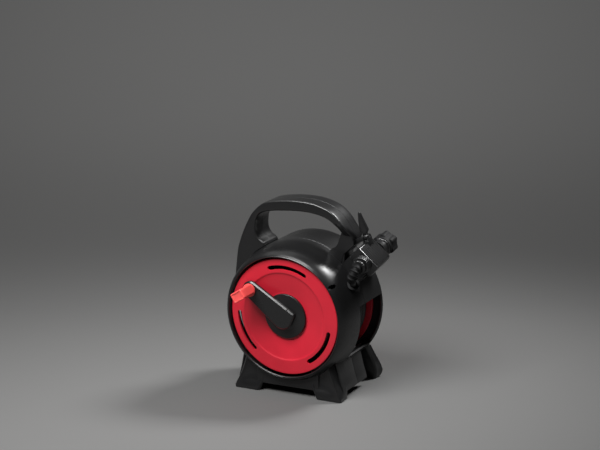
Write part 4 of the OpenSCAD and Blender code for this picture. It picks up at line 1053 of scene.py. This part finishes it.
def hose_line(scene):
    """Middle of the wound hose: layer on layer, to the front and back again, rising at each end.

    The angle grows evenly; radius and place along the axis are ramps of the number of turns.
    """
    s = scene.reel_hose
    low, high = HOSE_LOW, HOSE_HIGH
    run = (high - low) / s.pitch
    marks, place, level = [0.0], [low if s.layers % 2 else high], [0.0]
    for k in range(s.layers):
        end = high if (s.layers - k) % 2 else low
        marks += [marks[-1] + run, marks[-1] + run + RISE]
        place += [end, end]
        level += [k, min(k + 1, s.layers - 1)]
    marks, place, level = marks[:-1], place[:-1], level[:-1]
    count = int(marks[-1] * TURN_POINTS)
    n = np.linspace(0, marks[-1], count)
    f = np.interp(n, marks, place)
    steps = np.interp(n, marks, level)
    part = steps % 1
    smooth = np.floor(steps) + part * part * (3 - 2 * part)
    r = s.layer_r + s.layer_step * (smooth - s.layers + 1)
    a = HOSE_START + TURN * n
    local = np.column_stack([r * np.cos(a), r * np.sin(a), f])
    out = np.column_stack([np.cos(a), np.sin(a), np.zeros(count)])
    view = front_view(scene)
    return moved(local, view), moved(out, view) - moved(np.zeros((count, 3)), view)


def hose_skin(path, out, along, diameter, steps):
    """Tube along a path, and its map: x is the share of half a round, y the length along the hose."""
    share = np.abs(np.linspace(-1, 1, steps + 1)[:-1])
    uv = np.stack(np.broadcast_arrays(share[None, :], along[:, None]), axis=-1).reshape(-1, 2)
    return lofted(tube(path, diameter / 2, out, steps)), uv


def build_hose(scene):
    """Wound hose and the straight lead to the nozzle: tubes along their lines. The sleeve is turned."""
    s = scene.reel_hose
    path, out = hose_line(scene)
    along = np.concatenate([[0], np.cumsum(np.linalg.norm(np.diff(path, axis=0), axis=1))])
    skin, uv = hose_skin(path, out, along, s.diameter, 14)
    nodes = ["hose_winding", "hose_core"]
    hose = add_piece("wound_hose", [skin], "hose", "drum", nodes, smooth=60, uv=uv)
    lead = lead_view(scene)
    z = np.linspace(0, LEAD_L, 14)
    path = moved(np.column_stack([0 * z, 0 * z, z]), lead)
    out = np.tile(np.array(lead)[:3, 0], (len(z), 1))
    skin, uv = hose_skin(path, out, z, s.diameter, 28)
    add_piece("hose_to_nozzle", [skin], "hose", "housing", ["hose_lead"], smooth=60, uv=uv)
    sleeve = mm((0, 19), (4.3, 19), (4.3, 22), (2.4, 22), (2.4, 44), (0, 44)) + (s.diameter / 2 + 0.0004, 0)
    skin = turned(filleted(sleeve, [0.0006, 0.0009, 0.0006, 0.0003, 0.0006, 0.0006]), lead, 48)
    add_piece("hose_sleeve", [skin], "soft", "housing", ["hose_guide"])


# Crank

# Gaps between disc and arm and between arm and knob, and where the arm's corner on the hub lies
ARM_GAP, KNOB_GAP = 0.0008, 0.0004
ARM_CORNER = 0.0155


def arm_outline(big, small, reach, steps=28):
    """Round at the knob and the tangents from it; on the hub one side has a corner, the other a round."""
    lean = math.acos((big - small) / reach)
    a = np.linspace(lean, math.pi, steps)
    b = np.linspace(-lean, lean, steps)
    side = np.array([math.sin(lean), math.cos(lean)])
    foot = big * np.array([math.cos(lean), -math.sin(lean)])
    end = foot - ARM_CORNER * side
    corner = filleted([(-big, 0.0), end, foot], [1e-6, 0.0028, 1e-6], 6)
    return np.vstack(
        [
            np.column_stack([big * np.cos(a), big * np.sin(a)]),
            corner[corner[:, 1] < -0.0010],
            np.column_stack([reach + small * np.cos(b), small * np.sin(b)]),
        ]
    )


# Height of the hub's rim, and radii of the rolled edges
HUB_H, HUB_ROLL, ARM_ROLL, KNOB_ROLL = 0.0040, 0.0010, 0.0020, 0.0011


def knob_rings(s, base):
    """Rings of the knob along z: a round collar, then a block with a rolled edge and a sunk end.

    The block's radius at each angle is (|cos / thick|^9 + |sin / wide|^9)^(-1/9). A ring is its height, its
    inset and its share of the block.
    """
    a = np.linspace(0, TURN, 97)[:-1]
    turn = a - s.knob_turn
    block = (np.abs(np.cos(turn) / s.knob_thick) ** 9 + np.abs(np.sin(turn) / s.knob_wide) ** 9) ** (-1 / 9)
    tip = base + s.knob_l
    q = np.linspace(0, math.pi / 2, 6)
    rings = [(base, -0.0006, 0.0), (base + 0.0006, 0.0, 0.0), (base + 0.0028, 0.0, 0.0)]
    rings += [(base + 0.0034, -0.0012, 0.1), (base + 0.0044, -0.0014, 1.0), (base + 0.0052, 0.0, 1.0)]
    rings += [(tip - 0.006, 0.0, 1.0)]
    rings += [(tip - KNOB_ROLL * (1 - math.sin(k)), -KNOB_ROLL * (1 - math.cos(k)), 1.0) for k in q]
    rings += [(tip, -0.0024, 1.0), (tip - 0.0007, -0.0030, 1.0), (tip - 0.0009, -0.0045, 1.0)]
    return rings_at(a, [((1 - k) * s.knob_r + k * block + inset, z) for z, inset, k in rings])


def build_crank(scene):
    """Crank with its knob: the hub and its snap ring are turned outlines, the arm a rolled flat."""
    s, d = scene.reel_crank, scene.reel_drum
    view = front_view(scene)
    floor = d.face - d.dish_d + 0.0001
    arm_back, arm_front = d.face + ARM_GAP, d.face + ARM_GAP + s.arm_t
    t = np.linspace(0, math.pi / 2, 5)
    rim_r, rim_f = s.hub_r - HUB_ROLL, floor + HUB_H - HUB_ROLL
    hub = [(s.hub_r - 0.0004, floor), (s.hub_r, floor + 0.0004)]
    hub += [(rim_r + HUB_ROLL * math.cos(a), rim_f + HUB_ROLL * math.sin(a)) for a in t]
    crown = mm((30, 5.2), (22, 7), (16, 8.4), (6, 8.6)) + (0, floor)
    made = [turned_solid(np.vstack([hub, crown]), view, 96)]
    outline = arm_outline(s.hub_end_r, s.knob_end_r, s.reach)
    made.append(prism(outline, arm_back - 0.0004, arm_front, ARM_ROLL, spun(view, s.turn), 1))
    snap = filleted(mm((17.3, 50.5), (20.3, 50.5), (19.8, 56), (17.3, 56)), 0.0003, 2)
    made.append(turned(snap, view, 64))
    add_piece("crank", made, "black", "drum", ["crank_arm"])
    spot = shifted(view, s.reach * math.cos(s.turn), s.reach * math.sin(s.turn), 0)
    skin = lofted(moved(knob_rings(s, arm_front + KNOB_GAP), spot))
    add_piece("crank_knob_grip", [skin], "coral", "knob", ["crank_knob"], smooth=30)


# Nozzle

# Block of the nozzle: its turn round the nozzle's axis and its two ends
BLOCK_TURN = math.radians(46)
BLOCK_BACK, BLOCK_FRONT = -0.026, 0.020
# Millimetres: how far the barrel stands out from its radius, and the place along the axis
BARREL = [
    (-1, -66), (0, -65), (0, -44.3), (1.2, -43.7), (2, -42.9), (2, -41.3), (1.2, -40.5), (0, -40), (0, -30),
    (0.8, -27.5), (3, -25.5),
]
# Ears that hold the lever's pin: radius, depth below the pin, thickness and places along the pin
EAR_R, EAR_DROP, EAR_T = 0.0052, 0.012, 0.0024
EAR_SIDES = (-0.00625, 0.00385)
# Ribbed pad: its two ends and its number of ribs
PAD_LOW, PAD_HIGH, PAD_RIBS = -0.0245, 0.0175, 14


def block_section():
    """Rectangle with its corners cut by a circle."""
    half_t, half_w, r = 0.013, 0.022, 0.0235
    across = math.sqrt(r * r - half_w * half_w)
    down = math.sqrt(r * r - half_t * half_t)
    a0, a1 = math.atan2(down, half_t), math.atan2(half_w, across)
    arc = np.linspace(a0, a1, 5)
    corner = np.column_stack([r * np.cos(arc), r * np.sin(arc)])
    corner = np.clip(corner, -1, (half_t, half_w))
    q = np.vstack([corner, corner[::-1] * (-1, 1), corner * (-1, -1), corner[::-1] * (1, -1)])
    return filleted(q, 0.002, 3)


def build_nozzle_body(scene):
    """Nozzle: a block carried along the axis, a turned barrel, two ears for the lever and a ribbed pad."""
    view = nozzle_view(scene)
    block = spun(view, BLOCK_TURN)
    made = [prism(block_section(), BLOCK_BACK, BLOCK_FRONT, 0.0016, block)]
    made.append(turned_solid(mm(*BARREL) + (scene.reel_nozzle.barrel_r, 0), view, 72))
    ear = np.vstack([ring_of(EAR_R, 24)[:13], [(-EAR_R, -EAR_DROP), (EAR_R, -EAR_DROP)]])
    lever = spun(lever_view(scene), math.pi / 2, "Y")
    made += [prism(ear, low, low + EAR_T, 0.0005, lever, 3) for low in EAR_SIDES]
    add_piece("nozzle_shell", made, "black", "housing", ["nozzle_body"])
    pad = filleted(box_of(12.4, 13.7, -18.5, 18.5), 0.0004, 3)
    made = [prism(pad, PAD_LOW, PAD_HIGH, 0.0004, block, 2)]
    rib = filleted(box_of(13, 14.5, -18.5, 18.5), 0.0005, 3)
    step = (PAD_HIGH - PAD_LOW) / PAD_RIBS
    starts = [PAD_LOW + (k + 0.25) * step for k in range(PAD_RIBS)]
    made += [prism(rib, low, low + 0.5 * step, 0.0004, block, 3) for low in starts]
    add_piece("nozzle_grip", made, "soft", "housing", ["nozzle_pad"])


def build_spray_ring(scene):
    """Ring with six lobes at its spray end, which fade into a plain round.

    A lobe is a circle whose middle lies inside the ring's radius. Its reach r at an angle and the ring's
    radius R join smoothly as (R^k + r^k)^(1/k).
    """
    s = scene.reel_nozzle
    view = nozzle_view(scene)
    a = np.linspace(0, TURN, 145)[:-1]
    near = (a - math.radians(30) + math.pi / 6) % (math.pi / 3) - math.pi / 6
    at, lobe = s.ring_r - 0.0025, 0.005
    aside = (at * np.sin(near)) ** 2
    bulge = at * np.cos(near) + np.sqrt(np.maximum(lobe**2 - aside, 0))
    bulge = np.where(lobe**2 > aside, bulge, 0)
    k = 18.0
    lobed = (s.ring_r**k + np.maximum(bulge, 1e-4) ** k) ** (1 / k)
    plain = np.full(len(a), s.ring_r)
    bore = s.barrel_r + 0.00006
    end, lobes_end, roll, fade = -0.0688, -0.0515, 0.0022, 0.0015
    q = np.linspace(0, math.pi / 2, 5)
    rows = [(bore, end), (bore + 0.0006, end)]
    rows += [(lobed - roll * (1 - math.sin(t)), end + roll * (1 - math.cos(t))) for t in q]
    rows += [(lobed, -0.060), (lobed, lobes_end)]
    rows += [(plain + (lobed - plain) * math.cos(t), lobes_end + fade * math.sin(t)) for t in q[1:]]
    rows += [(plain, -0.0475)]
    rows += [(plain - 0.001 * (1 - math.cos(t)), -0.045 + 0.001 * math.sin(t)) for t in q]
    rows += [(bore, -0.044)]
    skin = looped(moved(rings_at(a, rows), view))
    add_piece("spray_dial", [skin], "soft", "ring", ["spray_ring"])


# Bend: plain radius, height of its ribs, and the ribs' starts and half width in degrees
BEND_R, RIB_H, RIB_HALF = 0.0066, 0.0016, 5.5
RIB_STARTS = (20, 43, 66, 89)


def build_couplings(scene):
    """Collar, stem and nut are turned round the nozzle's axis. The ribbed bend is a tube along an arc."""
    view = nozzle_view(scene)
    bore, body, band = 9.46, 13.5, 14.3
    collar = mm(
        (bore, 20.5), (body, 20.5), (body, 23), (band, 23), (band, 24.6), (body, 24.6),
        (body, 26.5), (band, 26.5), (band, 28.1), (body, 28.1), (body, 31), (bore, 31),
    )
    rolls = mm(0.3, 1.2, 0.3, 0.6, 0.6, 0.3, 0.3, 0.6, 0.6, 0.3, 1.4, 0.3)

    def grip(t):
        """24 shallow waves."""
        return 1 + 0.012 * np.cos(24 * t)

    made = [turned(filleted(collar, rolls), view, 144, grip)]
    add_piece("quick_collar", made, "black", "collar", ["coupling_collar"])
    made = [turned_solid(rounded_ends(mm((9.4, 20), (9.4, 34.5)), 0.0004), view, 64)]
    add_piece("quick_stem", made, "black", "housing", ["coupling_body"])

    def flutes(t):
        """12 narrow hollows."""
        return 1 - 0.055 * np.maximum(np.cos(12 * t), 0) ** 6

    made = [turned_solid(rounded_ends(mm((10.8, 34.5), (10.8, 38)), 0.0007), view, 144, flutes)]
    add_piece("hose_cap_nut", made, "black", "housing", ["hose_nut"])
    bend = elbow_view(scene)
    a = np.linspace(0, ELBOW_TURN, 91)
    local = np.column_stack([ELBOW_R * (1 - np.cos(a)), np.zeros(len(a)), ELBOW_R * np.sin(a)])
    out = np.column_stack([-np.cos(a), np.zeros(len(a)), np.sin(a)])
    from_rib = [np.abs(np.degrees(a) - (start + RIB_HALF)) for start in RIB_STARTS]
    ribs = sum(np.clip(1.25 - off / RIB_HALF, 0, 1) for off in from_rib)
    radius = BEND_R + RIB_H * ribs * ribs * (3 - 2 * ribs)
    turn = np.array(bend)[:3, :3]
    rings = tube(moved(local, bend), radius, out @ turn.T, 40)
    add_piece("hose_bend", [lofted(rings)], "soft", "housing", ["hose_elbow"], smooth=50)


def build_lever(scene):
    """Thumb lever: rounded sections up the blade, which widens above the hub and tapers to the tip.

    Each section is the closed curve (w cos^n t, d sin^n t) with n below 1, which keeps its corners round.
    """
    tip = scene.reel_nozzle.lever_l
    y = np.concatenate([np.linspace(0, 0.95, 30), [0.975, 0.99, 1.0]])
    back = np.interp(y, [0, 0.195, 0.45, 0.75, 0.976, 1], [-2.2, -3.4, -3.2, -1.8, 0.6, 1.5])
    front = np.interp(y, [0, 0.195, 0.45, 0.75, 0.966, 1], [2.2, 4.2, 3.8, 3.4, 3.2, 2.1])
    wide = np.interp(y, [0, 0.17, 0.27, 0.976, 1], [3.5, 3.5, 7.3, 2.3, 1.4])
    t = np.arange(40) * TURN / 40
    c, n = (np.sign(wave) * np.abs(wave) ** 0.35 for wave in (np.cos(t), np.sin(t)))
    along = (back + front)[:, None] / 2 + (front - back)[:, None] / 2 * n
    up = np.broadcast_to(y[:, None] * tip, along.shape)
    grid = np.stack([along * MM, up, wide[:, None] * c * MM], axis=-1)
    view = spun(lever_view(scene), math.pi / 2, "Y")
    made = [lofted(moved(grid, view))]
    made.append(turned(filleted(box_of(1.55, 4.6, -3.5, 3.5), 0.0004, 2), view, 40))
    add_piece("thumb_lever", made, "black", "lever", ["nozzle_lever"])


# Inlet, screws and hidden pieces


def build_inlet(scene):
    """Inlet at the back: a hollow outline turned round the drum's axis, with a groove for its seal."""
    line = mm(
        (4.6, -71.2), (7, -71.2), (7, -66.9), (5.8, -66.9), (5.8, -64.5), (7, -64.5), (7, -60.2),
        (8.7, -60.2), (8.7, -57.2), (6.6, -57.2), (6.6, -51.2), (12.5, -51.2), (12.5, -45.2), (6, -45.2),
        (6, -35.2), (4.6, -35.2),
    )
    rolls = mm(0.4, 0.6, 0.2, 0.2, 0.2, 0.2, 0.4, 0.8, 0.5, 0.6, 0.6, 0.8, 0.2, 0.2, 0.3, 0.3)
    skin = turned(filleted(line, rolls, 3), front_view(scene), 64)
    add_piece("water_inlet", [skin], "black", "housing", ["inlet_spigot"])


# Screws: radii of head and shank, and heights of the plain and the low head
HEAD_R, SHANK_R = 0.0034, 0.00175
HEAD_H, LOW_HEAD_H = 0.0022, 0.00125


def cross_screw(head_h, shank_l, place):
    """Pan-head screw with a cross recess, turned round its axis.

    The recess edge is the nearer of the cross's tip and side at each angle.
    """
    a = np.linspace(0, TURN, 49)[:-1]
    off = np.abs((a + math.pi / 4) % (math.pi / 2) - math.pi / 4)
    cross = np.minimum(0.55 * HEAD_R / np.cos(off), 0.16 * HEAD_R / np.maximum(np.sin(off), 1e-3))
    rows = [(SHANK_R * 0.6, -shank_l), (SHANK_R, -shank_l + 0.5 * SHANK_R), (SHANK_R, 0), (HEAD_R * 0.97, 0)]
    rows += [(r * HEAD_R, z * head_h) for r, z in ((1, 0.15), (1, 0.45), (0.92, 0.78), (0.74, 0.96))]
    rows += [(cross * 1.06, head_h), (cross * 0.8, 0.45 * head_h)]
    return lofted(moved(rings_at(a, rows), place))


def build_screws(scene):
    """Screws of the case, the spindle and the rear disc, in rings round the drum's axis."""
    view = front_view(scene)

    def spot(turn, r, f, back=True):
        """Seat of a screw at a turn and a radius; a head at the back is turned over."""
        seat = shifted(spun(view, turn), r, 0, f)
        return spun(seat, math.pi, "X") if back else seat

    made = [cross_screw(HEAD_H, 0.056, spot(FRONT_SCREW, SCREW_R, FRONT_SEAT, False))]
    made += [cross_screw(HEAD_H, 0.062, spot(a, SCREW_R, REAR_SEAT)) for a in REAR_SCREWS]
    add_piece("case_screw_set", made, "steel", "housing", ["case_screws"])
    corners = [math.radians(45 + 90 * k) for k in range(4)]
    made = [cross_screw(HEAD_H, 0.006, spot(a, 0.017, -0.045)) for a in corners]
    add_piece("spindle_screw_set", made, "steel", "housing", ["spindle_screws"])
    sixths = [math.radians(60 * k) for k in range(6)]
    made = [cross_screw(LOW_HEAD_H, 0.010, spot(a, 0.039, -0.0605)) for a in sixths]
    add_piece("rear_disc_screw_set", made, "steel", "drum", ["rear_flange_screws"])


# Nodes that keep the frame's own shape, with their finishes
CARRIED = {
    "nozzle_holder": "black",
    "spindle": "natural",
    "spindle_seals": "seal",
    "thrust_washer": "natural",
    "retaining_washer": "steel",
    "retaining_screw": "steel",
    "inlet_seal": "seal",
    "spray_core": "black",
    "lever_pin": "steel",
    "drum_bushes": "natural",
    "flange_screws": "steel",
    "hose_tail": "natural",
    "knob_pin": "steel",
}


def build_carried(scene):
    """Finishes of the parts that keep the frame's own shape."""
    for node, finish in CARRIED.items():
        carried(node, finish)


# Stage


# Camera's place in metres
CAMERA_AT = (1.3348, -2.3818, 0.9935)
# Round floor in metres: radius of the flat, radius of its sweep and height of the wall above the sweep
FLOOR_FLAT, FLOOR_SWEEP, FLOOR_WALL = 1.6, 3.2, 1.0


def axes(right, up, back, spot):
    """Matrix with three axes and a place as its columns."""
    m = np.eye(4)
    m[:3] = np.column_stack([right, up, back, spot])
    return Matrix(m.tolist())


def soft_light(scene, name, spot, aim, size, power, spread=180):
    """Rectangular light at a spot, facing its aim, with its long side level."""
    lamp = bpy.data.lights.new(name, "AREA")
    lamp.shape, lamp.size, lamp.size_y, lamp.energy = "RECTANGLE", size[0], size[1], power
    lamp.spread = math.radians(spread)
    obj = bpy.data.objects.new(name, lamp)
    scene.collection.objects.link(obj)
    spot, aim = np.array(spot), np.array(aim)
    back = (spot - aim) / np.linalg.norm(spot - aim)
    right = np.cross((0.0, 1.0, 0.0), back)
    right = right / np.linalg.norm(right)
    obj.matrix_world = axes(right, np.cross(back, right), back, spot)


def build_floor(scene):
    """Round floor that sweeps up into a wall: rings along a line, a quarter round and an upright."""
    t = np.linspace(0, math.pi / 2, 25)
    far = FLOOR_FLAT + FLOOR_SWEEP
    radius = np.concatenate([[0.02, 0.4, 0.8, 1.2], FLOOR_FLAT + FLOOR_SWEEP * np.sin(t), [far]])
    height = np.concatenate([[0, 0, 0, 0], FLOOR_SWEEP * (1 - np.cos(t)), [FLOOR_SWEEP + FLOOR_WALL]])
    steps = 96
    grid = rings_at(np.arange(steps) * TURN / steps, zip(radius, height))
    faces = [tuple(f) for f in quads(len(radius), steps, close_cols=True).tolist()] + [tuple(range(steps))]
    mesh = bpy.data.meshes.new("studio_floor")
    mesh.from_pydata(grid.reshape(-1, 3).tolist(), [], faces)
    mesh.polygons.foreach_set("use_smooth", np.ones(len(mesh.polygons), bool))
    m = Finish("studio_paper", {"Roughness": 0.9, "Specular IOR Level": 0.2})
    tone = tuple(scene.reel_finish.floor)
    m.feed("Base Color", m.mixed(m.noise(1.2, 3), rgba(tone, 0.985), rgba(tone, 1.015)))
    mesh.materials.append(m.material)
    floor = bpy.data.objects.new("studio_floor", mesh)
    scene.collection.objects.link(floor)


def build_camera(scene):
    """Camera at its spot: yaw turns it round the upright, pitch tips it down, roll turns it in its plane."""
    s = scene.reel_stage
    data = bpy.data.cameras.new("photo_camera")
    data.sensor_width, data.lens = 36.0, s.lens
    data.clip_start, data.clip_end = 0.05, 40.0
    camera = bpy.data.objects.new("photo_camera", data)
    scene.collection.objects.link(camera)
    ahead = np.array([-math.sin(s.yaw), math.cos(s.yaw), 0.0]) * math.cos(s.pitch)
    ahead[2] = -math.sin(s.pitch)
    level = np.array([math.cos(s.yaw), math.sin(s.yaw), 0.0])
    above = np.cross(level, ahead)
    right = math.cos(s.roll) * level + math.sin(s.roll) * above
    up = -math.sin(s.roll) * level + math.cos(s.roll) * above
    camera.matrix_world = axes(right, up, -ahead, CAMERA_AT)
    scene.camera = camera


def build_stage(scene):
    """Floor, four soft lights, even surroundings and the camera."""
    s = scene.reel_stage
    build_floor(scene)
    soft_light(scene, "key_soft_light", (-0.15, -0.74, 1.26), (0, 0, 0.15), (0.90, 0.60), s.key)
    soft_light(scene, "overhead_fill", (-0.95, 0.4, 1.85), (0, 0, 0.15), (1.4, 1.4), s.fill)
    soft_light(scene, "rim_soft_light", (0.90, 1.15, 1.9), (0.05, 0, 0.2), (0.66, 0.40), s.rim, 40)
    soft_light(scene, "backdrop_light", (-0.9, 1.4, 1.9), (-1.9, 3.6, 0.3), (1.2, 0.8), s.back)
    world = bpy.data.worlds.new("studio_air")
    world.use_nodes = True
    world.node_tree.nodes["Background"].inputs["Color"].default_value = (1, 1, 1, 1)
    world.node_tree.nodes["Background"].inputs["Strength"].default_value = s.sky
    scene.world = world
    build_camera(scene)
    scene.view_settings.view_transform = "Standard"


# Operators, one for each piece or group of like pieces


def operator(key, label, text, build):
    """Operator class that runs one builder."""

    def execute(self, context):
        """Build the piece in the current scene."""
        build(context.scene)
        return {"FINISHED"}

    return type(
        "REEL_OT_" + key,
        (bpy.types.Operator,),
        {"bl_idname": "reel." + key, "bl_label": label, "__doc__": text, "execute": execute},
    )


OPERATORS = [
    operator("stage", "Stage", "Floor, light and camera", build_stage),
    operator("finishes", "Finishes", "Procedural materials", make_finishes),
    operator("hose", "Hose", "Wound hose, lead and sleeve", build_hose),
    operator("front_housing", "Front housing", "Front half with handle and feet", build_front_housing),
    operator("rear_housing", "Rear housing", "Rear half with handle, feet and spider", build_rear_housing),
    operator("flanges", "Drum discs", "Front and rear flange of the drum", build_flanges),
    operator("drum_core", "Drum barrel", "Barrel, sleeve and webs", build_drum_core),
    operator("crank", "Crank", "Crank arm, hub and knob", build_crank),
    operator("nozzle_body", "Nozzle body", "Nozzle shell and grip", build_nozzle_body),
    operator("spray_ring", "Spray ring", "Turning ring of the nozzle", build_spray_ring),
    operator("couplings", "Couplings", "Collar, stem, nut and bend", build_couplings),
    operator("lever", "Lever", "Thumb lever of the nozzle", build_lever),
    operator("inlet", "Inlet", "Water inlet at the back", build_inlet),
    operator("screws", "Screws", "Screw sets", build_screws),
    operator("carried", "Carried parts", "Finishes of the parts kept from the frame", build_carried),
]


class REEL_PT_panel(bpy.types.Panel):
    """Sidebar panel that lists the builders and their sizes"""

    bl_label = "Hose Reel"
    bl_space_type = "VIEW_3D"
    bl_region_type = "UI"
    bl_category = "Hose Reel"

    def draw(self, context):
        """One button for each operator, then the sizes group by group."""
        for op in OPERATORS:
            self.layout.operator(op.bl_idname)
        for name, group in GROUPS.items():
            box = self.layout.box()
            box.label(text=group.__doc__)
            for prop in group.__annotations__:
                box.prop(getattr(context.scene, name), prop)


CLASSES = [*GROUPS.values(), *OPERATORS, REEL_PT_panel]


def register():
    """Register the classes and hang each group of sizes on the scene."""
    for cls in CLASSES:
        bpy.utils.register_class(cls)
    for name, group in GROUPS.items():
        setattr(bpy.types.Scene, name, bpy.props.PointerProperty(type=group))


def unregister():
    """Undo what register does, in reverse."""
    for name in GROUPS:
        delattr(bpy.types.Scene, name)
    for cls in reversed(CLASSES):
        bpy.utils.unregister_class(cls)


def main():
    """Run every operator, then write the boxes of the packed part and of this model."""
    register()
    for op in OPERATORS:
        getattr(bpy.ops.reel, op.bl_idname.split(".")[1])()


if __name__ == "__main__":
    main()
